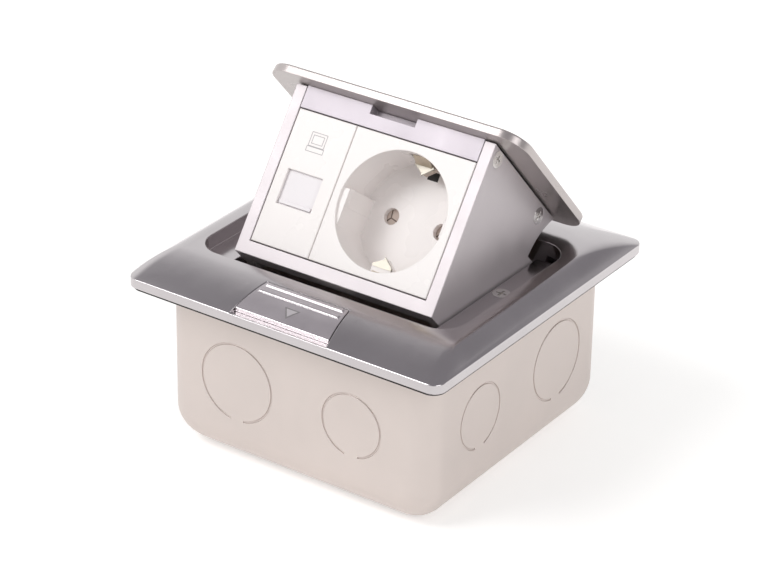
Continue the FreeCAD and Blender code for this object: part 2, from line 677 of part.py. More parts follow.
def keep_on_face(solid):
    """A piece that is drawn on the face: X across, Y up the face, Z out of it."""
    return keep(solid, shut_to_open.multiply(face_to_shut))


# ---------------------------------------------------------------- back box and seal

def back_box():
    """The drawn box: a rounded tray with knockouts in its sides and anchor holes in its floor."""
    body = new_body("back_box")
    plan = sketch_on(body, "box_plan", "XY_Plane")
    draw_rounded_rectangle(plan, "-box_width / 2", "box_width / 2", "-box_length / 2", "box_length / 2",
                           "box_corner", "box_corner")
    pad(body, plan, "box_height")
    round_edges(body, "box_bend", lambda edge: edge.BoundBox.ZMax < 1e-6)
    tray = body.Tip
    rim = [f"Face{i}" for i, face in enumerate(tray.Shape.Faces, start=1)
           if face.BoundBox.ZMin > value("box_height") - 1e-6]
    shell = body.newObject("PartDesign::Thickness", "box_shell")
    shell.Base = (tray, rim)
    bind(shell, "Value", "box_wall")
    shell.Reversed = True
    DOC.recompute()
    anchors = sketch_on(body, "box_anchors", "XY_Plane")
    for across in ("-anchor_spacing / 2", "anchor_spacing / 2"):
        for along in ("-anchor_spacing / 2", "anchor_spacing / 2"):
            draw_circle(anchors, across, along, "anchor_radius")
    pocket(body, anchors, "box_wall * 2", Midplane=True)
    earth = sketch_on(body, "box_earth", "XY_Plane")
    draw_circle(earth, "earth_place_x", "earth_place_y", "earth_shank + thread_play")
    pocket(body, earth, "box_wall * 2", Midplane=True)
    scores = []
    for name, role, large_side, width in (("front", "XZ_Plane", "-1", "box_length"),
                                          ("right", "YZ_Plane", "1", "box_width")):
        sides = sketch_on(body, f"box_knockouts_{name}", role, f"{width} / 2")
        draw_score_ring(sides, f"{large_side} * knockout_offset", "knockout_height",
                       "large_knockout", "knockout_line", "knockout_tab")
        draw_score_ring(sides, f"-({large_side}) * knockout_offset", "knockout_height",
                       "small_knockout", "knockout_line", "knockout_tab")
        scores.append(pocket(body, sides, "knockout_score"))
    opposite = body.newObject("PartDesign::PolarPattern", "box_opposite_sides")
    opposite.Originals = scores
    axis = [item for item in body.Origin.OriginFeatures if item.Role == "Z_Axis"][0]
    opposite.Axis = (axis, [""])
    opposite.Angle = 360
    opposite.Occurrences = 2
    body.Tip = opposite
    DOC.recompute()
    keep(body)


def gasket():
    """The flat seal between the box rim and the plate."""
    body = new_body("plate_gasket")
    plan = sketch_on(body, "gasket_plan", "XY_Plane", "box_height")
    outside = "plate_width / 2 - gasket_inset", "plate_length / 2 - gasket_inset"
    inside = "box_width / 2 - box_wall", "box_length / 2 - box_wall"
    for (across, along), radius in ((outside, "plate_corner"), (inside, "box_corner - box_wall")):
        draw_rounded_rectangle(plan, f"-({across})", across, f"-({along})", along, radius, radius)
    pad(body, plan, "gasket_thickness")
    keep(body)


def fixing_ears():
    """Two bent ears on the box walls that the plate screws bite into."""
    ears = []
    for side, sign in (("left", "-1"), ("right", "1")):
        body = new_body(f"{side}_ear")
        wall = f"{sign} * (box_width / 2 - box_wall)"
        inner = f"{sign} * (fixing_place_x - ear_reach)"
        skin = f"{sign} * (box_width / 2 - box_wall - ear_sheet)"
        top = "box_height - ear_gap"
        profile = sketch_on(body, f"{side}_ear_profile", "XZ_Plane", "-fixing_place_y")
        draw_outline(profile, [
            (wall, f"{top} - ear_drop"), (wall, f"{top} - ear_bend"), (f"{wall} - ({sign}) * ear_bend * 0.3",
             f"{top} - ear_bend * 0.3"), (f"{wall} - ({sign}) * ear_bend", top), (inner, top),
            (inner, f"{top} - ear_sheet"), (skin, f"{top} - ear_sheet"), (skin, f"{top} - ear_drop")])
        pad(body, profile, "ear_width", Midplane=True)
        hole = sketch_on(body, f"{side}_ear_hole", "XY_Plane", top)
        draw_circle(hole, f"{sign} * fixing_place_x", "fixing_place_y", "fixing_shank + thread_play")
        pocket(body, hole, "ear_sheet")
        ears.append(body)
    keep(group("fixing_ears", *ears))


def earth_terminal():
    """The box's earth screw, its washer and the nut that is welded under its head's plate."""
    place = ("earth_place_x", "earth_place_y")
    washer_top = "(box_wall + earth_nut_height + earth_washer_thickness)"
    nut = add("Part::Prism", "earth_nut_blank")
    nut.Polygon = 6
    bind(nut, "Circumradius", "earth_nut")
    bind(nut, "Height", "earth_nut_height")
    stand(nut, (*place, "box_wall"), "z")
    bore = rod("earth_nut_bore", "earth_shank + thread_play", "earth_nut_height", (*place, "box_wall"))
    keep(cut("earth_nut", nut, bore))
    ring = rod("earth_washer_blank", "earth_washer", "earth_washer_thickness",
               (*place, "box_wall + earth_nut_height"))
    hole = rod("earth_washer_bore", "earth_shank + thread_play", "earth_washer_thickness",
               (*place, "box_wall + earth_nut_height"))
    keep(cut("earth_washer", ring, hole))
    length = "earth_nut_height + earth_washer_thickness"
    keep(screw("earth_screw", "earth", length, (*place, f"{washer_top} + earth_head_height"), "-z", False))


# ---------------------------------------------------------------- cover plate

def crown_sections(body, name):
    """Three sections of the crown: its edge, halfway up its slopes and its flat top."""
    sections = []
    for level, share, rise in (("edge", "0", "0"), ("middle", "crown_bulge_place", "crown_bulge"),
                               ("top", "1", "1")):
        plan = sketch_on(body, f"{name}_{level}", "XY_Plane", f"{PLATE_EDGE} + plate_rise * {rise}")
        draw_rounded_rectangle(
            plan, f"-(plate_width / 2 - crown_side * {share})", f"plate_width / 2 - crown_side * {share}",
            f"-(plate_length / 2 - crown_front * {share})", f"plate_length / 2 - crown_rear * {share}",
            f"plate_corner + (crown_front_corner - plate_corner) * {share}",
            f"plate_corner + (crown_rear_corner - plate_corner) * {share}")
        plan.Visibility = False
        sections.append(plan)
    return sections


def crown(body, name):
    """The convex crown over the plate's upright edge."""
    sections = crown_sections(body, name)
    loft = body.newObject("PartDesign::AdditiveLoft", f"{name}_loft")
    loft.Profile = sections[0]
    loft.Sections = sections[1:]
    loft.Ruled = False
    DOC.recompute()
    return loft


def latch_half_width(back_from_rear, play="0"):
    """Half the width of the latch button at a distance in front of its rear edge."""
    spread = "(latch_front_width - latch_rear_width) / 2 / latch_length"
    return f"(latch_rear_width / 2 + {spread} * ({back_from_rear}) + {play})"


def plate_casting():
    """The plate's own casting: edge, crown, lid recess, ledges and the pockets over and under it."""
    body = new_body("plate_casting")
    crown(body, "plate_crown")
    edge = sketch_on(body, "plate_edge_plan", "XY_Plane", PLATE_BASE)
    draw_rounded_rectangle(edge, "-plate_width / 2", "plate_width / 2", "-plate_length / 2", "plate_length / 2",
                           "plate_corner", "plate_corner")
    pad(body, edge, "plate_rim")
    recess = sketch_on(body, "plate_recess", "XY_Plane", PLATE_TOP)
    draw_rounded_rectangle(recess, "-recess_width / 2", "recess_width / 2", "-recess_front", "recess_rear",
                           "recess_corner", "recess_corner")
    pocket(body, recess, "ledge_depth")
    mouth = sketch_on(body, "plate_mouth", "XY_Plane", LEDGE)
    draw_outline(mouth, [
        ("-mouth_width / 2", "-recess_front"), ("mouth_width / 2", "-recess_front"),
        ("mouth_width / 2", "ledge_end"), ("mouth_end_width / 2", "ledge_end"),
        ("mouth_end_width / 2", "recess_rear"), ("-mouth_end_width / 2", "recess_rear"),
        ("-mouth_end_width / 2", "ledge_end"), ("-mouth_width / 2", "ledge_end")])
    pocket(body, mouth, f"{LEDGE} - {PLATE_BASE}")
    rear = sketch_on(body, "plate_rear_pocket", "XY_Plane", PLATE_BASE)
    draw_rounded_rectangle(rear, "-rear_pocket_width / 2", "rear_pocket_width / 2",
                           "recess_rear + rear_pocket_wall", "rear_pocket_end",
                           "rear_pocket_corner", "rear_pocket_rear_corner")
    for across in ("-bracket_screw_place", "bracket_screw_place"):
        draw_circle(rear, across, "bracket_screw_row", "boss_radius")
    pocket(body, rear, "rear_pocket_depth", Reversed=True)
    latch_well = sketch_on(body, "plate_latch_well", "XY_Plane", PLATE_TOP)
    front, rear_edge = "plate_length / 2 + latch_play", "latch_front - latch_length - latch_play"
    wide = latch_half_width(f"{front} - latch_front + latch_length", "latch_play")
    narrow = latch_half_width("-latch_play", "latch_play")
    draw_outline(latch_well, [(f"-{wide}", f"-({front})"), (wide, f"-({front})"),
                              (narrow, f"-({rear_edge})"), (f"-{narrow}", f"-({rear_edge})")])
    pocket(body, latch_well, "plate_rise")
    slot = sketch_on(body, "plate_latch_slot", "XY_Plane", PLATE_EDGE)
    draw_rectangle(slot, "-(stem_width / 2 + latch_play)", "stem_width / 2 + latch_play",
                   "-(stem_front + latch_travel + latch_play)", "-(stem_front - stem_length - latch_play)")
    pocket(body, slot, "plate_rim")
    under = sketch_on(body, "plate_bolt_pocket", "XY_Plane", PLATE_BASE)
    draw_rectangle(under, "-(bolt_wing_width / 2 + bolt_room)", "bolt_wing_width / 2 + bolt_room",
                   "-(bolt_front + latch_travel + bolt_room)", "-(recess_front + bolt_pocket_wall)")
    pocket(body, under, "plate_rim - latch_floor", Reversed=True)
    window = sketch_on(body, "plate_tongue_window", "XY_Plane", PLATE_BASE)
    draw_rectangle(window, "-(tongue_width / 2 + tongue_window_play)", "tongue_width / 2 + tongue_window_play",
                   "-(recess_front + bolt_pocket_wall)", "-recess_front")
    pocket(body, window, f"{TONGUE_TOP} + tongue_window_play - {PLATE_BASE}", Reversed=True)
    lugs = sketch_on(body, "plate_spring_lugs", "XY_Plane", f"{PLATE_EDGE} - latch_floor")
    for near, far in (("bolt_wing_width / 2 - lug_width", "bolt_wing_width / 2"),
                      ("-bolt_wing_width / 2", "-(bolt_wing_width / 2 - lug_width)")):
        draw_rectangle(lugs, near, far, "-fixed_lug_front", "-(fixed_lug_front - lug_sheet)")
    pad(body, lugs, f"{PLATE_EDGE} - latch_floor - {LUG_FOOT}", Reversed=True)
    return body


def top_plate():
    """The cast plate with its countersunk and tapped holes."""
    holes = []
    for side, sign in (("left", "-1"), ("right", "1")):
        place = (f"{sign} * fixing_place_x", "fixing_place_y", LEDGE)
        holes.append(rod(f"{side}_fixing_hole", "fixing_shank + thread_play", "ledge_depth", place, "-z"))
        holes.append(taper(f"{side}_fixing_sink", "fixing_head + thread_play", "fixing_shank + thread_play",
                           "fixing_head_height", place, "-z"))
        holes.append(rod(f"{side}_boss_hole", "bracket_screw_shank + thread_play", "bracket_screw_length",
                         (f"{sign} * bracket_screw_place", "bracket_screw_row", PLATE_BASE)))
    keep(cut("top_plate", plate_casting(), *holes))


def plate_screws():
    """The two screws on the ledges that hold the plate to the box."""
    right = screw("right_plate_screw", "fixing", "fixing_length", ("fixing_place_x", "fixing_place_y", LEDGE),
                  "-z", True)
    keep(pair("plate_screws", right))


# ---------------------------------------------------------------- hinge

def hinge_bracket():
    """The steel bracket under the rear of the plate: base, stop flange and two ears for the pin."""
    body = new_body("hinge_bracket")
    base = sketch_on(body, "bracket_base", "XY_Plane", PLATE_BASE)
    draw_rectangle(base, f"-{BRACKET_SIDE}", BRACKET_SIDE, "bracket_front", "bracket_rear")
    for across in ("-bracket_screw_place", "bracket_screw_place"):
        draw_circle(base, across, "bracket_screw_row", "bracket_screw_shank + thread_play")
    pad(body, base, "bracket_sheet", Reversed=True)
    stop = sketch_on(body, "bracket_stop", "XY_Plane", PLATE_BASE)
    draw_rectangle(stop, f"-{BRACKET_SIDE}", BRACKET_SIDE, "bracket_front", "bracket_front + bracket_sheet")
    pad(body, stop, "stop_drop", Reversed=True)
    for side, height in (("left", f"-{BRACKET_SIDE}"), ("right", BRACKET_EAR)):
        ear = sketch_on(body, f"bracket_{side}_ear", "YZ_Plane", height)
        foot = f"{HINGE_HEIGHT} - bracket_ear_foot"
        half = "bracket_ear_foot"
        draw_outline(ear, [
            ("bracket_front", PLATE_BASE), (f"hinge_place - {half}", HINGE_HEIGHT, "bracket_ear_foot"),
            ("hinge_place", foot, "bracket_ear_foot"), (f"hinge_place + {half}", HINGE_HEIGHT),
            ("bracket_rear", PLATE_BASE)])
        draw_circle(ear, "hinge_place", HINGE_HEIGHT, "pin_radius + pin_play")
        pad(body, ear, "bracket_sheet")
    keep(body)
    right = screw("right_bracket_screw", "bracket_screw", "bracket_screw_length + bracket_sheet",
                  ("bracket_screw_place", "bracket_screw_row",
                   f"{PLATE_BASE} - bracket_sheet - bracket_screw_head_height"), "z", False, False)
    keep(pair("bracket_screws", right))


def hinge_pin():
    """The pin with its clips, and the washers beside the arms."""
    half = f"({BRACKET_SIDE} + pin_overhang)"
    keep(rod("hinge_pin", "pin_radius", f"2 * {half}", (f"-{half}", "hinge_place", HINGE_HEIGHT), "x"))
    clip_place = (f"{BRACKET_SIDE} + side_play", "hinge_place", HINGE_HEIGHT)
    disc = rod("clip_disc", "clip_radius", "clip_thickness", clip_place, "x")
    bore = rod("clip_bore", "pin_radius", "clip_thickness", clip_place, "x")
    mouth = block("clip_mouth", (clip_place[0], f"{clip_place[0]} + clip_thickness"),
                  ("hinge_place - pin_radius * 0.8", "hinge_place + pin_radius * 0.8"),
                  (f"{HINGE_HEIGHT} - clip_radius", HINGE_HEIGHT))
    keep(pair("hinge_clips", cut("right_clip", disc, bore, mouth)))
    washer_place = ("frame_width / 2 + side_play", "hinge_place", HINGE_HEIGHT)
    ring = rod("washer_disc", "washer_radius", "washer_thickness", washer_place, "x")
    hole = rod("washer_bore", "pin_radius + pin_play", "washer_thickness", washer_place, "x")
    keep(pair("hinge_washers", cut("right_hinge_washer", ring, hole)))


def torsion_springs():
    """Two springs around the pin: one leg under the bracket, the other along an arm."""
    wound = wound_spring("spring_coil_right", "spring_coil", "spring_wire", "spring_length")
    stand(wound, ("spring_place", "hinge_place", HINGE_HEIGHT), "x")
    rest = rod("spring_fixed_leg", "spring_wire", "hinge_drop - bracket_sheet",
               ("spring_place + spring_wire * 2", "hinge_place + spring_coil + spring_wire / 4", HINGE_HEIGHT))
    push = add("Part::Cylinder", "spring_moving_leg")
    bind(push, "Radius", "spring_wire")
    bind(push, "Height", "spring_leg")
    push.Placement = FreeCAD.Placement(FreeCAD.Vector(), FreeCAD.Rotation(FreeCAD.Vector(1, 0, 0), 45))
    for axis, text in zip("xyz", ("spring_place + spring_length - spring_wire * 2",
                                  "hinge_place - spring_coil - spring_wire / 4", HINGE_HEIGHT)):
        bind(push, f"Placement.Base.{axis}", text)
    keep(pair("torsion_springs", join("right_torsion_spring", wound, rest, push)))


# ---------------------------------------------------------------- latch

def crown_copy(name, lift):
    """The plate's crown again, lifted, to shape what follows it."""
    body = new_body(name)
    crown(body, name)
    bind(body, "Placement.Base.z", lift)
    return body


def common(name, *solids):
    """What solids share."""
    shared = add("Part::MultiCommon", name)
    shared.Shapes = list(solids)
    DOC.recompute()
    return shared


def latch_slider():
    """The button: its top follows the plate's front slope and carries two grip ribs and a stem."""
    plan = new_body("latch_plan")
    outline = sketch_on(plan, "latch_outline", "XY_Plane", f"{PLATE_EDGE} + latch_lift")
    front, rear = "-latch_front", "-(latch_front - latch_length)"
    wide, narrow = latch_half_width("latch_length"), latch_half_width("0")
    draw_outline(outline, [(f"-{wide}", front), (wide, front), (narrow, rear), (f"-{narrow}", rear)])
    pad(plan, outline, "2 * plate_rise")
    pieces = [common("latch_button", plan, crown_copy("latch_crown", "latch_lift"))]
    ribs = []
    for name, ahead in (("rear", "grip_rib"), ("front", "grip_rib + grip_rib_pitch")):
        start = f"-(latch_front - latch_length + {ahead} + grip_rib / 2)"
        side = latch_half_width(ahead)
        ribs.append(block(f"latch_{name}_rib", (f"-{side} + grip_rib", f"{side} - grip_rib"),
                          (start, f"{start} + grip_rib"), (f"{PLATE_EDGE} + grip_rib", f"{PLATE_TOP} + grip_rib")))
    both = join("latch_ribs_blank", *ribs)
    pieces.append(common("latch_ribs", both, crown_copy("latch_rib_crown", "grip_rib_height")))
    pieces.append(block("latch_stem", ("-stem_width / 2", "stem_width / 2"),
                        ("-stem_front", "-(stem_front - stem_length)"), (BOLT_TOP, f"{PLATE_EDGE} + grip_rib")))
    bores = [rod(f"latch_{side}_bore", "latch_screw_shank + thread_play", "latch_screw_length",
                 (f"{sign} * latch_screw_place", "-(stem_front - stem_length / 2)", BOLT_FOOT))
             for side, sign in (("left", "-1"), ("right", "1"))]
    keep(cut("latch_slider", join("latch_blank", *pieces), *bores))


def latch_bolt():
    """The steel bolt under the plate: plate, spring lugs, root and bevelled tongue."""
    body = new_body("bolt_sheet_piece")
    plan = sketch_on(body, "bolt_plan", "XY_Plane", BOLT_FOOT)
    slim, wing = "bolt_width / 2", "bolt_wing_width / 2"
    draw_outline(plan, [
        (f"-{slim}", "-bolt_front"), (slim, "-bolt_front"), (slim, "-bolt_wing_front"), (wing, "-bolt_wing_front"),
        (wing, "-bolt_wing_rear"), (slim, "-bolt_wing_rear"), (slim, "-riser_front"), (f"-{slim}", "-riser_front"),
        (f"-{slim}", "-bolt_wing_rear"), (f"-{wing}", "-bolt_wing_rear"), (f"-{wing}", "-bolt_wing_front"),
        (f"-{slim}", "-bolt_wing_front")])
    pad(body, plan, "bolt_sheet")
    lugs = sketch_on(body, "bolt_lugs", "XY_Plane", BOLT_FOOT)
    for near, far in ((f"{wing} - lug_width", wing), (f"-{wing}", f"-({wing} - lug_width)")):
        draw_rectangle(lugs, near, far, "-(bolt_wing_rear + lug_sheet)", "-bolt_wing_rear")
    pad(body, lugs, "lug_drop", Reversed=True)
    side = sketch_on(body, "bolt_tongue", "YZ_Plane")
    draw_outline(side, [
        ("-riser_front", BOLT_FOOT), ("-tongue_root", BOLT_FOOT), ("-tongue_root", TONGUE_FOOT),
        ("-tongue_tip", TONGUE_FOOT), ("-tongue_tip", f"{TONGUE_FOOT} + tongue_thickness / 3"),
        ("-(tongue_tip + tongue_thickness)", TONGUE_TOP), ("-riser_front", TONGUE_TOP)])
    pad(body, side, "tongue_width", Midplane=True)
    narrow = sketch_on(body, "bolt_neck", "XY_Plane", BOLT_FOOT)
    for near, far in (("tongue_width / 2", "bolt_width"), ("-bolt_width", "-tongue_width / 2")):
        draw_rectangle(narrow, near, far, "-(recess_front + bolt_pocket_wall + tongue_window_play)", "-riser_front")
    pocket(body, narrow, "bolt_sheet", Reversed=True)
    holes = []
    for name, sign in (("left", "-1"), ("right", "1")):
        place = (f"{sign} * latch_screw_place", "-(stem_front - stem_length / 2)", BOLT_FOOT)
        holes.append(rod(f"bolt_{name}_hole", "latch_screw_shank + thread_play", "bolt_sheet", place))
        holes.append(taper(f"bolt_{name}_sink", "latch_screw_head + thread_play", "latch_screw_shank + thread_play",
                           "latch_screw_head_height", place))
    keep(cut("latch_bolt", body, *holes))
    right = screw("right_latch_screw", "latch_screw", "latch_screw_length",
                  ("latch_screw_place", "-(stem_front - stem_length / 2)", BOLT_FOOT), "z", True, False)
    keep(pair("latch_screws", right))


def latch_springs():
    """The two springs that push the latch back, between its lugs and the plate's."""
    start = "-(fixed_lug_front - lug_sheet)"
    length = f"-(bolt_wing_rear + lug_sheet) - ({start})"
    springs = []
    for side, sign in (("left", "-1"), ("right", "1")):
        spring = wound_spring(f"{side}_latch_spring", "latch_spring_coil", "latch_spring_wire", length)
        place = (f"{sign} * (bolt_wing_width - lug_width) / 2", start, f"{LUG_FOOT} + lug_drop / 2")
        springs.append(stand(spring, place, "y"))
    keep(group("latch_springs", *springs))


# ---------------------------------------------------------------- tilting frame, drawn shut

def up_face(along, inward="0"):
    """The Y and Z formulas of a place on the side view of the shut face."""
    across = f"({FACE_FOOT} - ({along}) * sin(face_slant) + ({inward}) * cos(face_slant))"
    height = f"({FACE_FOOT_HEIGHT} + ({along}) * cos(face_slant) + ({inward}) * sin(face_slant))"
    return across, height


def hinge_circle(height):
    """Where a level line meets the circle that the cheeks' rear edges follow."""
    return f"(hinge_place - sqrt(swing_radius ^ 2 - ({height} - {HINGE_HEIGHT}) ^ 2))"


FRONT_SCREW = (f"({FACE_TOP} + front_screw_back)", f"({LID_UNDER} - front_screw_down)")
REAR_SCREW = ("rear_bar_place", f"({LID_UNDER} - rear_screw_down)")


def cheek_screw_holes(owner, sunk):
    """Holes for the four screws through the cheeks into the bars."""
    holes = []
    for end, place in (("front", FRONT_SCREW), ("rear", REAR_SCREW)):
        for side, sign, inwards in (("left", "-1", "x"), ("right", "1", "-x")):
            name = f"{owner}_{end}_{side}"
            start = (f"{sign} * frame_width / 2", *place)
            holes.append(rod(f"{name}_hole", "frame_screw_shank + thread_play", "frame_screw_length", start, inwards))
            if sunk:
                holes.append(taper(f"{name}_sink", "frame_screw_head + thread_play",
                                   "frame_screw_shank + thread_play", "frame_screw_head_height", start, inwards))
    return holes


def tilt_frame():
    """The one-piece frame: two cheeks, the sill between them and the arms that reach to the hinge."""
    body = new_body("frame_casting")
    side = sketch_on(body, "frame_side", "YZ_Plane")
    arm_top = f"({HINGE_HEIGHT} - arm_top)"
    draw_outline(side, [
        (f"{FACE_TOP} + cheek_gap * tan(face_slant)", CHEEK_TOP), (FACE_FOOT, FACE_FOOT_HEIGHT),
        (f"{FACE_FOOT} + foot_depth", FACE_FOOT_HEIGHT),
        ("hinge_place - knee_back", f"{HINGE_HEIGHT} - knee_down"),
        ("hinge_place - arm_root", f"{HINGE_HEIGHT} - arm_foot"), ("hinge_place", f"{HINGE_HEIGHT} - arm_top"),
        (hinge_circle(arm_top), arm_top, "-swing_radius"), (hinge_circle(CHEEK_TOP), CHEEK_TOP)])
    pad(body, side, "frame_width", Midplane=True)
    bosses = sketch_on(body, "frame_bosses", "YZ_Plane")
    draw_circle(bosses, "hinge_place", HINGE_HEIGHT, "boss_outside")
    pad(body, bosses, "frame_width", Midplane=True)
    hollow = sketch_on(body, "frame_hollow", "YZ_Plane")
    reach = f"2 * {FACE_HEIGHT}"
    draw_outline(hollow, [
        up_face("sill_height", "-sill_depth"), up_face(reach, "-sill_depth"), up_face(reach, reach),
        up_face(f"-{FACE_HEIGHT}", reach), up_face(f"-{FACE_HEIGHT}", "sill_depth"),
        up_face("sill_height", "sill_depth")])
    pocket(body, hollow, "window_width", Midplane=True)
    bore = sketch_on(body, "frame_bore", "YZ_Plane")
    draw_circle(bore, "hinge_place", HINGE_HEIGHT, "pin_radius + pin_play")
    pocket(body, bore, "frame_width + 1", Midplane=True)
    keep_tilting(cut("tilt_frame", body, *cheek_screw_holes("frame", True)))


def frame_screws():
    """The four countersunk screws in the cheeks."""
    screws = []
    for end, place in (("front", FRONT_SCREW), ("rear", REAR_SCREW)):
        for side, sign, inwards in (("left", "-1", "x"), ("right", "1", "-x")):
            screws.append(screw(f"{end}_{side}_frame_screw", "frame_screw", "frame_screw_length",
                                (f"{sign} * frame_width / 2", *place), inwards, True))
    keep_tilting(group("frame_screws", *screws))


def lid_screw_tools(owner, along, top):
    """Holes in a bar for its two lid screws: through for the shank, wider below for the head."""
    tools = []
    for side, sign in (("left", "-1"), ("right", "1")):
        place = (f"{sign} * lid_screw_place", along, top)
        tools.append(rod(f"{owner}_{side}_lid_hole", "lid_screw_shank + thread_play", "lid_screw_grip", place, "-z"))
        seat = (*place[:2], f"{top} - lid_screw_grip")
        tools.append(rod(f"{owner}_{side}_head_hole", "lid_screw_head + insert_gap", "rear_bar_height", seat, "-z"))
    return tools


def bars():
    """The top bar with its latch notch, and the rear bar; the lid is screwed to both."""
    half = "window_width / 2 - bar_gap"
    body = new_body("top_bar_blank")
    side = sketch_on(body, "top_bar_side", "YZ_Plane")
    draw_outline(side, [(FACE_TOP, LID_UNDER), up_face(TOP_BAR_FOOT), up_face(TOP_BAR_FOOT, "top_bar_depth"),
                        (f"{FACE_TOP} + top_bar_depth / cos(face_slant)", LID_UNDER)])
    pad(body, side, f"2 * ({half})", Midplane=True)
    notch = sketch_on(body, "top_bar_notch", "XY_Plane", LID_UNDER)
    draw_rectangle(notch, "-notch_width / 2", "notch_width / 2", f"{FACE_TOP} - notch_depth",
                   f"{FACE_TOP} + notch_depth")
    pocket(body, notch, "notch_height")
    keep_tilting(cut("top_bar", body, *cheek_screw_holes("top_bar", False),
                     *lid_screw_tools("top_bar", FRONT_SCREW[0], LID_UNDER)))
    middle = "rear_bar_place"
    blank = block("rear_bar_blank", (f"-({half})", half),
                  (f"{middle} - rear_bar_depth / 2", f"{middle} + rear_bar_depth / 2"),
                  (f"{LID_UNDER} - rear_bar_height", LID_UNDER))
    keep_tilting(cut("rear_bar", blank, *cheek_screw_holes("rear_bar", False),
                     *lid_screw_tools("rear_bar", middle, LID_UNDER)))


def lid():
    """The flat lid with rounded corners, and the screws that hold it from below."""
    body = new_body("lid_panel")
    plan = sketch_on(body, "lid_plan", "XY_Plane", LID_UNDER)
    side = "recess_width / 2 - lid_gap"
    draw_rounded_rectangle(plan, f"-({side})", side, LID_FRONT, f"{LID_FRONT} + lid_length",
                           "recess_corner", "recess_corner")
    pad(body, plan, "lid_thickness")
    top = value(PLATE_TOP)
    round_edges(body, "lid_edge", lambda edge: edge.BoundBox.ZMin > top - 1e-6, "PartDesign::Chamfer")
    holes, screws = [], []
    for end, along in (("front", FRONT_SCREW[0]), ("rear", "rear_bar_place")):
        for name, sign in (("left", "-1"), ("right", "1")):
            across = f"{sign} * lid_screw_place"
            holes.append(rod(f"lid_{end}_{name}_hole", "lid_screw_shank + thread_play", "lid_screw_bite",
                             (across, along, LID_UNDER)))
            start = f"{LID_UNDER} - lid_screw_grip - lid_screw_head_height"
            screws.append(screw(f"{end}_{name}_lid_screw", "lid_screw", "lid_screw_grip + lid_screw_bite",
                                (across, along, start), "z", False, False))
    keep_tilting(cut("lid", body, *holes))
    keep_tilting(group("lid_screws", *screws))


# ---------------------------------------------------------------- outlets, drawn on the face

def snap_hooks(body, name, middle, width):
    """Hooks on an outlet's upper and lower edge that catch behind the sill and the top bar."""
    low, high = FACE_INSERT, f"({FACE_INSERT} + insert_size)"
    for end, edge, inwards, depth in (("low", low, "1", "sill_depth"), ("high", high, "-1", "top_bar_depth")):
        profile = sketch_on(body, f"{name}_{end}_hook", "YZ_Plane", middle)
        inner = f"{edge} + {inwards} * hook_sheet"
        barb = f"{edge} - {inwards} * (insert_gap + hook_barb)"
        catch = f"-({depth} + hook_play)"
        tip = f"-({depth} + hook_play + hook_tip)"
        draw_outline(profile, [(inner, "-fascia_thickness / 2"), (inner, tip), (edge, tip), (barb, catch),
                               (edge, catch), (edge, "-fascia_thickness / 2")])
        pad(body, profile, width, Midplane=True)


def socket_fascia():
    """The power outlet's front: plate, recess with guide ribs and slots, pin holes and screw posts."""
    body = new_body("socket_fascia")
    plate = sketch_on(body, "socket_front", "XY_Plane")
    draw_rectangle(plate, "(data_width - insert_size) / 2 + insert_joint", "(data_width + insert_size) / 2",
                   FACE_INSERT, f"{FACE_INSERT} + insert_size")
    pad(body, plate, "fascia_thickness", Reversed=True)
    round_edges(body, "fascia_edge", lambda edge: edge.BoundBox.ZMin > -1e-6)
    cup = sketch_on(body, "socket_cup", "XY_Plane", "-fascia_thickness")
    draw_circle(cup, SOCKET_X, SOCKET_MIDDLE, "cup_radius + cup_wall")
    pad(body, cup, f"{CUP_REAR} - fascia_thickness", Reversed=True)
    well = sketch_on(body, "socket_well", "XY_Plane")
    draw_circle(well, SOCKET_X, SOCKET_MIDDLE, "cup_radius")
    pocket(body, well, "cup_depth")
    ribs = sketch_on(body, "socket_ribs", "XY_Plane", "-guide_rib_start")
    for sign in ("-1", "1"):
        inner, outer = (f"{SOCKET_X} + {sign} * ({reach})" for reach in ("cup_radius - guide_rib_reach",
                                                                         "cup_radius + cup_wall / 2"))
        west, east = (inner, outer) if sign == "1" else (outer, inner)
        draw_rectangle(ribs, west, east, f"{SOCKET_MIDDLE} - guide_rib_width / 2",
                       f"{SOCKET_MIDDLE} + guide_rib_width / 2")
    pad(body, ribs, "cup_depth - guide_rib_start", Reversed=True)
    holes = sketch_on(body, "socket_pin_holes", "XY_Plane", "-cup_depth")
    for sign in ("-1", "1"):
        draw_circle(holes, f"{SOCKET_X} + {sign} * pin_hole_spacing / 2", SOCKET_MIDDLE, "pin_hole_radius")
    pocket(body, holes, "cup_floor")
    slots = sketch_on(body, "socket_clip_slots", "XY_Plane", "-clip_slot_start")
    for low, high in (("cup_radius - cup_wall", "cup_radius + cup_wall"),
                      ("-(cup_radius + cup_wall)", "-(cup_radius - cup_wall)")):
        draw_rectangle(slots, f"{SOCKET_X} - clip_slot_width / 2", f"{SOCKET_X} + clip_slot_width / 2",
                       f"{SOCKET_MIDDLE} + {low}", f"{SOCKET_MIDDLE} + {high}")
    pocket(body, slots, CUP_REAR)
    posts = sketch_on(body, "socket_posts", "XY_Plane", "-fascia_thickness / 2")
    for sign in ("-1", "1"):
        for radius in ("post_radius", "post_bore"):
            draw_circle(posts, f"{SOCKET_X} + {sign} * post_place", f"{SOCKET_MIDDLE} - {sign} * post_place", radius)
    pad(body, posts, f"{CUP_REAR} - fascia_thickness / 2", Reversed=True)
    snap_hooks(body, "socket", SOCKET_X, "socket_hook_width")
    keep_on_face(body)


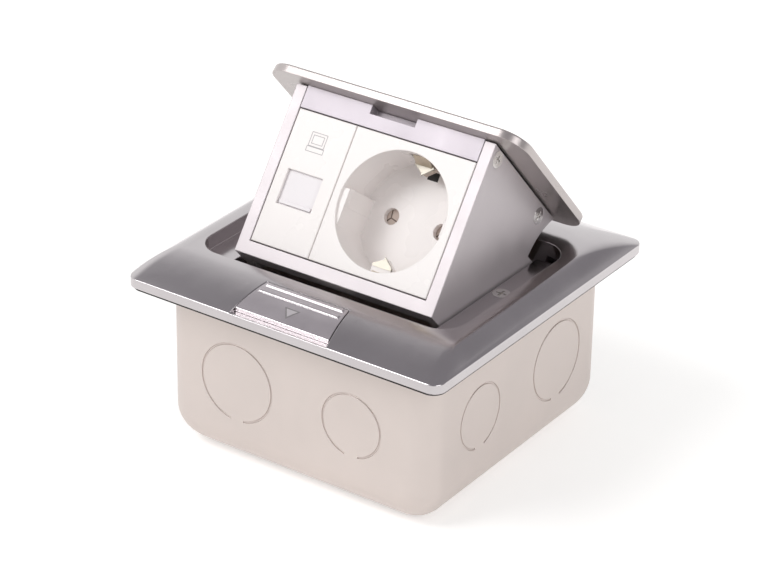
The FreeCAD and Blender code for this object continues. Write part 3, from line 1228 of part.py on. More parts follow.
def strap_profile():
    """The side view of the earth strap: a flat run behind the base, two arms and two bent clips."""
    arm = [("strap_place", f"-({BASE_REAR})"), ("strap_place", "-clip_rear"), ("clip_apex", "-clip_middle"),
           ("clip_foot", "-clip_front")]
    skin = [(f"{across} + strap_sheet", along) for across, along in reversed(arm[1:])]
    skin.append(("strap_place + strap_sheet", f"-({BASE_REAR} + strap_sheet)"))
    upper = arm + skin
    lower = [(f"-({across})", along) for across, along in reversed(upper)]
    return [(f"{SOCKET_MIDDLE} + {across}", along) for across, along in upper + lower]


def socket_base():
    """The base behind the recess, with its shutter pocket and pin chambers, and the earth strap."""
    body = new_body("socket_base_blank")
    half = "base_size / 2"
    plan = sketch_on(body, "base_plan", "XY_Plane", f"-{BASE_FRONT}")
    notch = "strap_width / 2 + strap_gap"
    floor = "strap_place - strap_gap"
    draw_outline(plan, [(f"{SOCKET_X} + {x}", f"{SOCKET_MIDDLE} + {y}") for x, y in (
        (f"-{half}", f"-{half}"), (f"-({notch})", f"-{half}"), (f"-({notch})", f"-({floor})"),
        (notch, f"-({floor})"), (notch, f"-{half}"), (half, f"-{half}"), (half, half), (notch, half),
        (notch, floor), (f"-({notch})", floor), (f"-({notch})", half), (f"-{half}", half))])
    pad(body, plan, "base_depth", Reversed=True)
    room = sketch_on(body, "base_shutter_pocket", "XY_Plane", f"-{BASE_FRONT}")
    side = "shutter_width / 2 + shutter_play"
    draw_rectangle(room, f"{SOCKET_X} - ({side})", f"{SOCKET_X} + {side}",
                   f"{SOCKET_MIDDLE} - shutter_height / 2 - shutter_play",
                   f"{SOCKET_MIDDLE} + shutter_height / 2 + shutter_travel + shutter_spring_room")
    pocket(body, room, "shutter_thickness + shutter_play")
    chambers = sketch_on(body, "base_chambers", "XY_Plane", f"-{BASE_FRONT}")
    for sign in ("-1", "1"):
        draw_circle(chambers, f"{SOCKET_X} + {sign} * pin_hole_spacing / 2", SOCKET_MIDDLE,
                    "contact_radius + contact_play")
    pocket(body, chambers, "base_depth")
    bores = []
    for name, sign in (("left", "-1"), ("right", "1")):
        bores.append(rod(f"base_{name}_terminal", "terminal_shank + thread_play", "terminal_length",
                         (f"{SOCKET_X} + {sign} * terminal_place", f"{SOCKET_MIDDLE} - terminal_down",
                          f"-{BASE_REAR}")))
        bores.append(rod(f"base_{name}_through", "assembly_shank + thread_play", "base_depth",
                         (f"{SOCKET_X} + {sign} * post_place", f"{SOCKET_MIDDLE} - {sign} * post_place",
                          f"-{BASE_REAR}")))
    keep_on_face(cut("socket_base", body, *bores))
    strap = new_body("earth_strap")
    profile = sketch_on(strap, "strap_side", "YZ_Plane", SOCKET_X)
    draw_outline(profile, strap_profile())
    pad(strap, profile, "strap_width", Midplane=True)
    keep_on_face(strap)


def pin_contact(name, sign):
    """A slit tube that grips a plug's pin, on a strap to its terminal screw."""
    across = f"({SOCKET_X} + {sign} * pin_hole_spacing / 2)"
    start = f"({BASE_FRONT} + shutter_thickness + 2 * shutter_play)"
    place = (across, SOCKET_MIDDLE, f"-{start}")
    tube = rod(f"{name}_tube", "contact_radius", f"{BASE_REAR} - {start}", place, "-z")
    low, high = f"{across} - contact_strap_width / 2", f"{across} + contact_strap_width / 2"
    outer = f"{SOCKET_X} + {sign} * (terminal_place + contact_strap_width / 2)"
    reach = (low, outer) if sign == "1" else (outer, high)
    strap = block(f"{name}_strap", reach,
                  (f"{SOCKET_MIDDLE} - terminal_down - contact_strap_width / 2", f"{SOCKET_MIDDLE} + contact_radius"),
                  (f"-({BASE_REAR} + contact_strap)", f"-{BASE_REAR}"))
    bore = rod(f"{name}_bore", "contact_bore", f"{BASE_REAR} - {start}", place, "-z")
    slit = block(f"{name}_slit", (f"{across} - contact_slit / 2", f"{across} + contact_slit / 2"),
                 (f"{SOCKET_MIDDLE} - contact_radius", f"{SOCKET_MIDDLE} + contact_radius"),
                 (f"-({start} + base_depth / 2)", f"-{start}"))
    hole = rod(f"{name}_hole", "terminal_shank + thread_play", "contact_strap",
               (f"{SOCKET_X} + {sign} * terminal_place", f"{SOCKET_MIDDLE} - terminal_down",
                f"-({BASE_REAR} + contact_strap)"))
    keep_on_face(cut(name, join(f"{name}_blank", tube, strap), bore, slit, hole))


def socket_screws():
    """The terminal screws and the screws that hold the base to the front, all from behind."""
    terminals, holding = [], []
    for name, sign in (("left", "-1"), ("right", "1")):
        terminals.append(screw(f"{name}_terminal_screw", "terminal", "terminal_length", (
            f"{SOCKET_X} + {sign} * terminal_place", f"{SOCKET_MIDDLE} - terminal_down",
            f"-({BASE_REAR} + contact_strap + terminal_head_height)"), "z", False, False))
        holding.append(screw(f"{name}_assembly_screw", "assembly", "assembly_length", (
            f"{SOCKET_X} + {sign} * post_place", f"{SOCKET_MIDDLE} - {sign} * post_place",
            f"-({BASE_REAR} + assembly_head_height)"), "z", False, False))
    keep_on_face(group("terminal_screws", *terminals))
    keep_on_face(group("socket_assembly_screws", *holding))


def springs_across(name, stem, middle, start, length, depth, place):
    """Two coil springs side by side that push a shutter down."""
    springs = []
    for side, sign in (("left", "-1"), ("right", "1")):
        spring = wound_spring(f"{side}_{name}", f"{stem}_coil", f"{stem}_wire", length)
        springs.append(stand(spring, (f"{middle} + {sign} * {place}", start, depth), "y"))
    keep_on_face(group(name, *springs))


def pin_shutter():
    """The shutter behind the pin holes, and its springs."""
    front = f"({BASE_FRONT} + shutter_play / 2)"
    leaf = block("pin_shutter_leaf", (f"{SOCKET_X} - shutter_width / 2", f"{SOCKET_X} + shutter_width / 2"),
                 (f"{SOCKET_MIDDLE} - shutter_height / 2", f"{SOCKET_MIDDLE} + shutter_height / 2"),
                 (f"-({front} + shutter_thickness)", f"-{front}"))
    keep_on_face(group("socket_shutter", leaf))
    springs_across("socket_shutter_springs", "shutter_spring", SOCKET_X,
                   f"{SOCKET_MIDDLE} + shutter_height / 2", "shutter_travel + shutter_spring_room",
                   f"-({front} + shutter_thickness / 2)", "shutter_width / 4")


def data_fascia():
    """The data outlet's front: window, the shutter's track behind it and snap hooks."""
    body = new_body("data_fascia")
    plate = sketch_on(body, "data_front", "XY_Plane")
    draw_rectangle(plate, "-(data_width + insert_size) / 2", "(data_width - insert_size) / 2 - insert_joint",
                   FACE_INSERT, f"{FACE_INSERT} + insert_size")
    pad(body, plate, "fascia_thickness", Reversed=True)
    round_edges(body, "fascia_edge", lambda edge: edge.BoundBox.ZMin > -1e-6)
    window = sketch_on(body, "data_window", "XY_Plane")
    draw_rectangle(window, f"{WINDOW_X} - data_window_width / 2", f"{WINDOW_X} + data_window_width / 2",
                   "data_window_place", WINDOW_TOP)
    pocket(body, window, "fascia_thickness")
    track = sketch_on(body, "data_track", "XY_Plane", "-fascia_thickness")
    side = "data_window_width / 2 + dust_shutter_overlap + dust_shutter_play"
    draw_rectangle(track, f"{WINDOW_X} - ({side})", f"{WINDOW_X} + {side}",
                   "data_window_place - dust_shutter_overlap - dust_shutter_play",
                   f"{WINDOW_TOP} + dust_shutter_overlap + dust_shutter_travel + dust_spring_room")
    pocket(body, track, "fascia_thickness - data_skin", Reversed=True)
    snap_hooks(body, "data", DATA_X, "data_hook_width")
    keep_on_face(body)


def data_shutter():
    """The dust shutter with its finger lip, and its springs."""
    side = "(data_window_width / 2 + dust_shutter_overlap)"
    front = "(data_skin + dust_shutter_play / 2)"
    top = f"({WINDOW_TOP} + dust_shutter_overlap)"
    leaf = block("dust_leaf", (f"{WINDOW_X} - {side}", f"{WINDOW_X} + {side}"),
                 ("data_window_place - dust_shutter_overlap", top),
                 (f"-({front} + dust_shutter_thickness)", f"-{front}"))
    lip_foot = "(data_window_place + 2 * dust_shutter_play)"
    lip_side = "(data_window_width / 2 - dust_shutter_overlap)"
    lip = block("dust_lip", (f"{WINDOW_X} - {lip_side}", f"{WINDOW_X} + {lip_side}"),
                (lip_foot, f"{lip_foot} + dust_lip_height"), (f"-{front}", f"-{front} + dust_lip_reach"))
    keep_on_face(join("data_shutter", leaf, lip))
    springs_across("data_shutter_springs", "dust_spring", WINDOW_X, top,
                   "dust_shutter_travel + dust_spring_room",
                   f"-({front} + dust_shutter_thickness / 2)", "data_window_width / 4")


def jack_carrier():
    """The plate that holds the data jack behind the outlet's front, with two hooks."""
    body = new_body("jack_carrier")
    plate = sketch_on(body, "carrier_plate", "XY_Plane", f"-{CARRIER_FRONT}")
    side = "(data_width / 2 - hook_sheet)"
    draw_rectangle(plate, f"{DATA_X} - {side}", f"{DATA_X} + {side}",
                   f"{FACE_INSERT} + 2 * hook_sheet", f"{FACE_INSERT} + insert_size - 2 * hook_sheet")
    draw_rectangle(plate, f"{WINDOW_X} - data_window_width / 2", f"{WINDOW_X} + data_window_width / 2",
                   "data_window_place", WINDOW_TOP)
    pad(body, plate, "carrier_thickness", Reversed=True)
    hooks = sketch_on(body, "carrier_hooks", "XY_Plane", f"-{CARRIER_FRONT}")
    for low in (f"{JACK_MIDDLE} + jack_height / 2 + carrier_gap",
                f"{JACK_MIDDLE} - jack_height / 2 - carrier_gap - hook_sheet"):
        draw_rectangle(hooks, f"{WINDOW_X} - jack_width / 3", f"{WINDOW_X} + jack_width / 3", low,
                       f"{low} + hook_sheet")
    pad(body, hooks, "carrier_thickness + hook_depth", Reversed=True)
    keep_on_face(body)


def data_jack():
    """The data jack: keyed mouth, eight contacts in it and the cap on its rear."""
    body = new_body("data_jack")
    outline = sketch_on(body, "jack_outline", "XY_Plane", f"-{JACK_FRONT}")
    half = "jack_width / 2"
    draw_rectangle(outline, f"{WINDOW_X} - {half}", f"{WINDOW_X} + {half}",
                   f"{JACK_MIDDLE} - jack_height / 2", f"{JACK_MIDDLE} + jack_height / 2")
    pad(body, outline, "jack_depth", Reversed=True)
    foot = "(data_window_place + jack_mouth_up)"
    mouth = sketch_on(body, "jack_mouth", "XY_Plane", f"-{JACK_FRONT}")
    wide, key = "jack_mouth_width / 2", "jack_key_width / 2"
    draw_outline(mouth, [(f"{WINDOW_X} + {x}", y) for x, y in (
        (f"-{wide}", foot), (f"-{key}", foot), (f"-{key}", f"{foot} - jack_key_depth"),
        (key, f"{foot} - jack_key_depth"), (key, foot), (wide, foot), (wide, f"{foot} + jack_mouth_height"),
        (f"-{wide}", f"{foot} + jack_mouth_height"))])
    pocket(body, mouth, "jack_mouth_depth")
    keep_on_face(body)
    contacts = []
    top = f"({foot} + jack_mouth_height)"
    for number in range(8):
        contact = new_body(f"jack_contact_{number + 1}")
        side = sketch_on(contact, f"jack_contact_{number + 1}_side", "YZ_Plane",
                         f"{WINDOW_X} + ({number} - 3.5) * contact_pitch")
        front, rear = f"-({JACK_FRONT} + jack_mouth_depth / 4)", f"-({JACK_FRONT} + jack_mouth_depth * 0.75)"
        draw_outline(side, [(top, front), (f"{top} - jack_mouth_height / 2", rear),
                            (f"{top} - jack_mouth_height / 2", f"{rear} - data_contact_width"),
                            (top, f"{front} - 2 * data_contact_width")])
        contacts.append(contact)
        pad(contact, side, "data_contact_width", Midplane=True)
    keep_on_face(group("jack_contacts", *contacts))
    cap = block("jack_cap_block", (f"{WINDOW_X} - {half} + cap_inset", f"{WINDOW_X} + {half} - cap_inset"),
                (f"{JACK_MIDDLE} - jack_height / 2 + cap_inset", f"{JACK_MIDDLE} + jack_height / 2 - cap_inset"),
                (f"-({JACK_REAR} + cap_depth)", f"-{JACK_REAR}"))
    keep_on_face(group("jack_cap", cap))


# ---------------------------------------------------------------- build and hand over

def build():
    """Every piece, root pieces first."""
    for make in (back_box, fixing_ears, earth_terminal, gasket, top_plate, plate_screws, hinge_bracket, hinge_pin,
                 torsion_springs, latch_slider, latch_bolt, latch_springs, lid, tilt_frame, bars, frame_screws,
                 socket_fascia, socket_base, socket_screws, pin_shutter, data_fascia, data_shutter, jack_carrier,
                 data_jack):
        make()
    pin_contact("live_contact", "-1")
    pin_contact("neutral_contact", "1")
    DOC.recompute()


def check():
    """Stop if any object failed or any piece has no sound shape."""
    for thing in DOC.Objects:
        if {"Invalid", "Error"} & set(thing.State):
            raise RuntimeError(f"{thing.Label} failed: {thing.State}")
    for node in NODES:
        if node.Shape.isNull() or not node.Shape.isValid() or not node.Shape.Solids:
            raise RuntimeError(f"{node.Label} has no sound shape")


build()
check()
os.makedirs("parts", exist_ok=True)
for node in NODES:
    node.Shape.exportStep(f"parts/{node.Label}.step")
print(f"{len(NODES)} pieces written")
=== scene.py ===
"""Dress a pop-up floor box: its finishes, softened edges, wound springs and marks, and a plain studio."""

import json
import logging
import math
from dataclasses import dataclass
from enum import Enum

import bmesh
import bpy
from mathutils import Matrix, Vector
from mathutils.bvhtree import BVHTree


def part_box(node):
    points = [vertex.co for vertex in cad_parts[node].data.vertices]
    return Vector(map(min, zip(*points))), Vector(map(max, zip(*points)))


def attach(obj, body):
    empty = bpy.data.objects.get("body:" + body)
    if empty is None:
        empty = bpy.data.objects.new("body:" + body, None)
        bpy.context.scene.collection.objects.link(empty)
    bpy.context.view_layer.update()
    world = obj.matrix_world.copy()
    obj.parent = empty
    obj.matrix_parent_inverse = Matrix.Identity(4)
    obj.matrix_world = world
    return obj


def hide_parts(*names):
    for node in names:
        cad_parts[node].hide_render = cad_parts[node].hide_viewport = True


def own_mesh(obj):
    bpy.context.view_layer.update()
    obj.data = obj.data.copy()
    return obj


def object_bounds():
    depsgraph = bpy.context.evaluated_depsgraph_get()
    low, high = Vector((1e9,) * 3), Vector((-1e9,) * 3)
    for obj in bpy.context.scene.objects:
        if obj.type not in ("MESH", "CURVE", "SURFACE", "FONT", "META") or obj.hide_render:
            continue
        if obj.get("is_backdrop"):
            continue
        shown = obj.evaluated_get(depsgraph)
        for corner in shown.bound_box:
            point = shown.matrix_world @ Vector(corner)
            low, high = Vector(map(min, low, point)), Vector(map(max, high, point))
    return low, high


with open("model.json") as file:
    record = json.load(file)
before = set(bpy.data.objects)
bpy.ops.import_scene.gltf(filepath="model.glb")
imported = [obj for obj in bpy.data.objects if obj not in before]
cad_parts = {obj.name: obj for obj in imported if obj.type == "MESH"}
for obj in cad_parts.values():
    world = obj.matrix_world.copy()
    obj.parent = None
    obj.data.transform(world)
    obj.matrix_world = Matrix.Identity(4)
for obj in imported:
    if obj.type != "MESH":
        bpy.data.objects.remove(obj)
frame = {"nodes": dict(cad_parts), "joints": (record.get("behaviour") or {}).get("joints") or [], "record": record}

LOG = logging.getLogger("floor_box")
MM = 0.001
SIDES = (("left", -1), ("right", 1))
RIGHT = Vector((1.0, 0.0, 0.0))
DOWN = Vector((0.0, 0.0, -1.0))
OVER_ALL = 1.0  # a height over every piece, in metres
SHARP_FROM = 30.0  # degrees between faces from which an edge is sharp
FLAT = 0.03  # degrees between faces up to which they are one
WELD = 0.5e-6  # metres within which corners are one
BODY_OF = {node: body for body, nodes in frame["record"]["behaviour"]["bodies"].items() for node in nodes}
JOINT = {joint["name"]: joint for joint in frame["joints"]}

Colour = tuple[float, float, float]


# ---------------------------------------------------------------- finishes


class NodeTree:
    """A material's or the world's node tree, filled by adding linked nodes."""

    def __init__(self, tree: bpy.types.NodeTree) -> None:
        """Clear the tree that the nodes go into.

        Args:
            tree: the tree of a material or of the world.
        """
        self.tree = tree
        self.tree.nodes.clear()

    def add(self, kind: str, inputs: dict | None = None, **settings) -> bpy.types.Node:
        """Add a node.

        Args:
            kind: the node's type.
            inputs: values or sockets for its inputs, by name or number.
            settings: the node's own settings.

        Returns:
            The new node.
        """
        node = self.tree.nodes.new(kind)
        for name, setting in settings.items():
            setattr(node, name, setting)
        for name, given in (inputs or {}).items():
            if isinstance(given, bpy.types.NodeSocket):
                self.tree.links.new(given, node.inputs[name])
            else:
                node.inputs[name].default_value = given
        return node

    def ramp(self, source: bpy.types.NodeSocket, low: float, high: float,
             start: Colour, end: Colour) -> bpy.types.NodeSocket:
        """Turn a grey value into a colour.

        Args:
            source: the grey value.
            low: where the ramp starts.
            high: where the ramp ends.
            start: the colour up to there.
            end: the colour from there on.

        Returns:
            The ramp's colour socket.
        """
        node = self.add("ShaderNodeValToRGB", {"Fac": source})
        for stop, place, colour in zip(node.color_ramp.elements, (low, high), (start, end)):
            stop.position = place
            stop.color = (*colour, 1.0)
        return node.outputs["Color"]


@dataclass(frozen=True)
class Finish:
    """A surface: its colour, its shine and the fine marks that break it up.

    Attributes:
        name: the material's name.
        colour: its mean colour.
        roughness: its mean roughness.
        metallic: 1 on bare metal.
        wander: the share by which its colour wanders.
        wander_size: the size of its clouds.
        grain: the height of its grain.
        grain_size: the size of its grain.
        colour_span: the cloud values between which the colour wanders.
        gloss_span: the cloud values between which the roughness wanders.
        gloss_wander: the share by which it wanders.
        cloud_detail: the octaves of the clouds.
        grain_detail: the octaves of the grain.
    """

    name: str
    colour: Colour
    roughness: float
    metallic: float = 0.0
    wander: float = 0.04
    wander_size: float = 14 * MM
    grain: float = 0.006 * MM
    grain_size: float = 0.4 * MM
    colour_span: tuple[float, float] = (0.35, 0.65)
    gloss_span: tuple[float, float] = (0.3, 0.7)
    gloss_wander: float = 0.1
    cloud_detail: float = 3.0
    grain_detail: float = 2.0

    def shade(self, share: float) -> Colour:
        """Make the colour lighter or darker.

        Args:
            share: the change, as a share of the colour.

        Returns:
            The changed colour.
        """
        return tuple(min(1.0, part * (1.0 + share)) for part in self.colour)

    def material(self) -> bpy.types.Material:
        """Make the material, or find it if it is made already.

        Returns:
            The material of this finish.
        """
        known = bpy.data.materials.get(self.name)
        if known:
            return known
        made = bpy.data.materials.new(self.name)
        made.use_nodes = True
        made.diffuse_color = (*self.colour, 1.0)
        tree = NodeTree(made.node_tree)
        place = tree.add("ShaderNodeTexCoord").outputs["Object"]
        clouds = tree.add("ShaderNodeTexNoise", {"Vector": place, "Scale": 1 / self.wander_size,
                                                 "Detail": self.cloud_detail}).outputs["Fac"]
        grain = tree.add("ShaderNodeTexNoise", {"Vector": place, "Scale": 1 / self.grain_size,
                                                "Detail": self.grain_detail}).outputs["Fac"]
        bump = tree.add("ShaderNodeBump", {"Height": grain, "Distance": self.grain, "Strength": 1.0})
        gloss = tree.add("ShaderNodeMapRange", {
            "Value": clouds, "From Min": self.gloss_span[0], "From Max": self.gloss_span[1],
            "To Min": self.roughness * (1 - self.gloss_wander),
            "To Max": self.roughness * (1 + self.gloss_wander)})
        colour = tree.ramp(clouds, *self.colour_span, self.shade(-self.wander), self.shade(self.wander))
        shader = tree.add("ShaderNodeBsdfPrincipled", {
            "Base Color": colour, "Roughness": gloss.outputs["Result"], "Metallic": self.metallic,
            "Normal": bump.outputs["Normal"]})
        tree.add("ShaderNodeOutputMaterial", {"Surface": shader.outputs["BSDF"]})
        return made


CASTING = Finish("satin_casting", (0.57, 0.54, 0.55), 0.18, 1.0, 0.03, 20 * MM, 0.003 * MM, 0.30 * MM)
BUTTON = Finish("satin_button", (0.76, 0.71, 0.73), 0.25, 1.0, 0.03, 9 * MM, 0.003 * MM, 0.30 * MM)
BOX_STEEL = Finish("box_sheet", (0.70, 0.625, 0.59), 0.42, 0.55, 0.025, 26 * MM, 0.004 * MM, 0.5 * MM)
FRAME_SILVER = Finish("silver_frame", (0.585, 0.54, 0.555), 0.42, 0.42, 0.02, 12 * MM, 0.010 * MM, 0.45 * MM)
BAR_SILVER = Finish("silver_bar", (0.48, 0.44, 0.475), 0.42, 0.45, 0.02, 12 * MM, 0.008 * MM, 0.45 * MM)
LID_SILVER = Finish("satin_lid", (0.52, 0.475, 0.465), 0.30, 0.8, 0.03, 20 * MM, 0.003 * MM, 0.3 * MM)
SEAL_RUBBER = Finish("seal_rubber", (0.018, 0.016, 0.015), 0.75, 0.0, 0.2, 5 * MM, 0.02 * MM, 0.5 * MM)
PLATED_SHEET = Finish("plated_sheet", (0.62, 0.60, 0.57), 0.35, 1.0, 0.06, 8 * MM, 0.004 * MM, 0.4 * MM)
PLATED_SCREW = Finish("plated_screw", (0.84, 0.82, 0.80), 0.18, 1.0, 0.05, 3 * MM, 0.003 * MM, 0.3 * MM)
SPRING_WIRE = Finish("spring_wire", (0.35, 0.34, 0.34), 0.25, 1.0, 0.05, 2 * MM, 0.002 * MM, 0.2 * MM)
BEARING = Finish("bearing_plastic", (0.80, 0.80, 0.78), 0.45)
OUTLET_WHITE = Finish("outlet_white", (0.89, 0.845, 0.83), 0.28, 0.0, 0.01, 20 * MM, 0.003 * MM, 0.5 * MM)
SHUTTER_WHITE = Finish("shutter_white", (0.84, 0.80, 0.82), 0.35, 0.0, 0.01, 8 * MM, 0.003 * MM, 0.4 * MM)
BASE_PLASTIC = Finish("base_plastic", (0.62, 0.60, 0.57), 0.5, 0.0, 0.03, 8 * MM, 0.01 * MM, 0.4 * MM)
PIN_SHUTTER = Finish("pin_shutter_plastic", (0.74, 0.62, 0.55), 0.5, 0.0, 0.05, 4 * MM, 0.01 * MM, 0.4 * MM)
BRASS = Finish("contact_brass", (0.72, 0.52, 0.26), 0.25, 1.0, 0.06, 3 * MM, 0.003 * MM, 0.3 * MM)
CLIP_METAL = Finish("clip_metal", (0.66, 0.59, 0.48), 0.30, 1.0, 0.06, 3 * MM, 0.003 * MM, 0.3 * MM)
GOLD_WIRE = Finish("gold_wire", (0.80, 0.60, 0.25), 0.22, 1.0)
JACK_PLASTIC = Finish("jack_plastic", (0.10, 0.10, 0.10), 0.45, 0.0, 0.1, 5 * MM, 0.01 * MM, 0.3 * MM)
MARK_GREY = Finish("mark_grey", (0.44, 0.42, 0.43), 0.5, 0.0, 0.02)
CLIP_END = Finish("clip_end_metal", (0.47, 0.44, 0.38), 0.35, 0.6, 0.04, 3 * MM, 0.003 * MM, 0.3 * MM)
CLIP_BACK = Finish("clip_back", (0.50, 0.42, 0.36), 0.5, 0.0, 0.05, 3 * MM, 0.003 * MM, 0.3 * MM)
# Painted shade: dark lines where the faces of the pin holes' wedges meet.
SPLIT_PAINTED_SHADE = Finish("split_painted_shade", (0.17, 0.12, 0.10), 0.6, 0.0, 0.02)
# Painted shade: a near-black sheet stands for the shade inside the slot in the recess floor.
SLOT_PAINTED_SHADE = Finish("slot_painted_shade", (0.02, 0.018, 0.017), 0.7, 0.0, 0.02)
ARROW_LIGHT = Finish("arrow_light", (0.70, 0.66, 0.68), 0.35, 0.6, 0.02)
# Painted shade: the dark outline of the latch's arrow stands in for the shadow on an engraved arrow's walls.
ARROW_PAINTED_SHADE = Finish("arrow_painted_shade", (0.26, 0.245, 0.25), 0.45, 0.3, 0.02)


# ---------------------------------------------------------------- making pieces


class Body(Enum):
    """The bodies that new pieces ride on."""

    HOUSING = "housing"
    LATCH = "latch"
    MODULE = "module"
    PIN_SHUTTER = "socket_shutter"


def add_piece(name: str, shape: bmesh.types.BMesh, finish: Finish, body: str) -> bpy.types.Object:
    """Turn a finished shape into a piece that rides on a body.

    Args:
        name: the piece's name.
        shape: its shape, in place; it is freed.
        finish: its finish.
        body: the body it rides on.

    Returns:
        The piece.
    """
    mesh = bpy.data.meshes.new(name)
    shape.to_mesh(mesh)
    shape.free()
    # The frame's stored normals no longer fit a merged copy.
    for layer in [layer for layer in mesh.attributes if layer.name == "custom_normal"]:
        mesh.attributes.remove(layer)
    mesh.materials.clear()
    mesh.materials.append(finish.material())
    for face in mesh.polygons:
        face.use_smooth = True
        face.material_index = 0
    mesh.set_sharp_from_angle(angle=math.radians(SHARP_FROM))
    piece = bpy.data.objects.new(name, mesh)
    bpy.context.scene.collection.objects.link(piece)
    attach(piece, body)
    LOG.info("%s rides on %s", name, body)
    return piece


def soften(node: str, finish: Finish, edge: float, segments: int = 2) -> None:
    """Put a merged copy with soft edges in a frame node's place.

    Args:
        node: the frame's node.
        finish: its finish.
        edge: the width of its softened edges.
        segments: the facets across a softened edge.
    """
    shape = bmesh.new()
    shape.from_mesh(frame["nodes"][node].data)
    bmesh.ops.remove_doubles(shape, verts=shape.verts, dist=WELD)
    bmesh.ops.dissolve_limit(shape, angle_limit=math.radians(FLAT), verts=shape.verts, edges=shape.edges)
    piece = add_piece(f"{node}_finished", shape, finish, BODY_OF[node])
    bevel = piece.modifiers.new("soft_edges", "BEVEL")
    bevel.width = edge
    bevel.segments = segments
    bevel.limit_method = "ANGLE"
    bevel.angle_limit = math.radians(SHARP_FROM)
    bevel.use_clamp_overlap = False
    bevel.harden_normals = True
    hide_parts(node)


def raise_faces(shape: bmesh.types.BMesh, faces: list, height: float,
                keep: bool = True) -> list[bmesh.types.BMVert]:
    """Thicken a flat drawing upwards.

    Args:
        shape: the shape that holds it.
        faces: its faces.
        height: its thickness.
        keep: whether its faces stay as the underside.

    Returns:
        The corners of the raised faces.
    """
    raised = bmesh.ops.extrude_face_region(shape, geom=faces, use_keep_orig=keep)["geom"]
    tops = [item for item in raised if isinstance(item, bmesh.types.BMVert)]
    bmesh.ops.translate(shape, vec=(0.0, 0.0, height), verts=tops)
    bmesh.ops.recalc_face_normals(shape, faces=shape.faces)
    return tops


def prism(shape: bmesh.types.BMesh, outline: list[tuple[float, float]], low: float,
          high: float) -> list[bmesh.types.BMVert]:
    """Add an upright prism to a shape.

    Args:
        shape: the shape it is added to.
        outline: its outline.
        low: the height of its foot.
        high: the height of its top.

    Returns:
        Its corners.
    """
    corners = [shape.verts.new((across, along, low)) for across, along in outline]
    foot = bmesh.ops.contextual_create(shape, geom=corners)["faces"]
    return corners + raise_faces(shape, foot, high - low)


def standing(foot: Vector, direction: Vector) -> Matrix:
    """Find the transform that stands an upright drawing somewhere else.

    Args:
        foot: where the drawing's origin goes.
        direction: where its Z axis points.

    Returns:
        The transform.
    """
    return Matrix.Translation(foot) @ direction.to_track_quat("Z", "Y").to_matrix().to_4x4()


def paint(node: str, finish: Finish) -> None:
    """Give a frame node that keeps its own mesh a finish.

    Args:
        node: the frame's node.
        finish: its finish.
    """
    mesh = frame["nodes"][node].data
    mesh.materials.clear()
    mesh.materials.append(finish.material())


# ---------------------------------------------------------------- springs


@dataclass(frozen=True)
class Winding:
    """A spring of round wire.

    Attributes:
        coil: the radius of the wire's centre line.
        wire: the wire's radius.
        turns: the open turns between the closed end turns.
        wire_sides: the facets round the wire.
        turn_steps: the steps in a turn.
    """

    coil: float
    wire: float
    turns: float
    wire_sides: int = 8
    turn_steps: int = 24

    def wind(self, length: float, closed_ends: float = 1.0) -> bmesh.types.BMesh:
        """Wind the wire about Z, from 0 up to a length.

        Args:
            length: the spring's length.
            closed_ends: turns at each end that lie on each other.

        Returns:
            The spring's shape.
        """
        shape = bmesh.new()
        ring = bmesh.ops.create_circle(shape, segments=self.wire_sides, radius=self.wire)["verts"]
        bmesh.ops.rotate(shape, verts=ring, cent=(0, 0, 0), matrix=Matrix.Rotation(math.pi / 2, 3, "X"))
        bmesh.ops.translate(shape, verts=ring, vec=(self.coil, 0, self.wire))
        closed_rise = 2 * self.wire * closed_ends
        open_rise = length - 2 * self.wire - 2 * closed_rise
        last = ring + shape.edges[:]
        for turns, rise in ((closed_ends, closed_rise), (self.turns, open_rise), (closed_ends, closed_rise)):
            if not turns:
                continue
            steps = round(turns * self.turn_steps)
            last = bmesh.ops.spin(shape, geom=last, cent=(0, 0, 0), axis=(0, 0, 1), dvec=(0, 0, rise / steps),
                                  angle=turns * math.tau, steps=steps, use_duplicate=False)["geom_last"]
        rims = [edge for edge in shape.edges if edge.is_boundary]
        bmesh.ops.holes_fill(shape, edges=rims, sides=self.wire_sides)
        bmesh.ops.recalc_face_normals(shape, faces=shape.faces)
        return shape

    def leg(self, shape: bmesh.types.BMesh, start: Vector, end: Vector) -> None:
        """Add a straight leg of the wire to a shape.

        Args:
            shape: the shape it is added to.
            start: where its centre line starts.
            end: where its centre line ends.
        """
        along = end - start
        bmesh.ops.create_cone(shape, cap_ends=True, segments=self.wire_sides * 2, radius1=self.wire,
                              radius2=self.wire, depth=along.length,
                              matrix=standing((start + end) / 2, along))


@dataclass(frozen=True)
class CoilPair:
    """Two compression springs side by side that stand for one frame node.

    Attributes:
        node: the frame's node.
        winding: how they are wound.
        joint: the joint that squeezes them.
    """

    node: str
    winding: Winding
    joint: str

    def build(self) -> None:
        """Wind both springs where the node's two solids are, along the joint's axis."""
        direction = Vector(JOINT[self.joint]["axis"]).normalized()
        beside = direction.cross(RIGHT)
        low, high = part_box(self.node)
        middle = (low.x + high.x) / 2
        for side, sign in SIDES:
            spots = [v.co for v in frame["nodes"][self.node].data.vertices if (v.co.x - middle) * sign > 0]
            spans = [(min(s.dot(way) for s in spots), max(s.dot(way) for s in spots))
                     for way in (RIGHT, beside, direction)]
            foot = RIGHT * sum(spans[0]) / 2 + beside * sum(spans[1]) / 2 + direction * spans[2][0]
            length = spans[2][1] - spans[2][0]
            shape = self.winding.wind(length)
            bmesh.ops.transform(shape, matrix=standing(foot, direction), verts=shape.verts)
            spring = add_piece(f"{side}_{self.node}_wire", shape, SPRING_WIRE, BODY_OF[self.node])
            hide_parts(self.node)
            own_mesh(spring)


# ---------------------------------------------------------------- housing


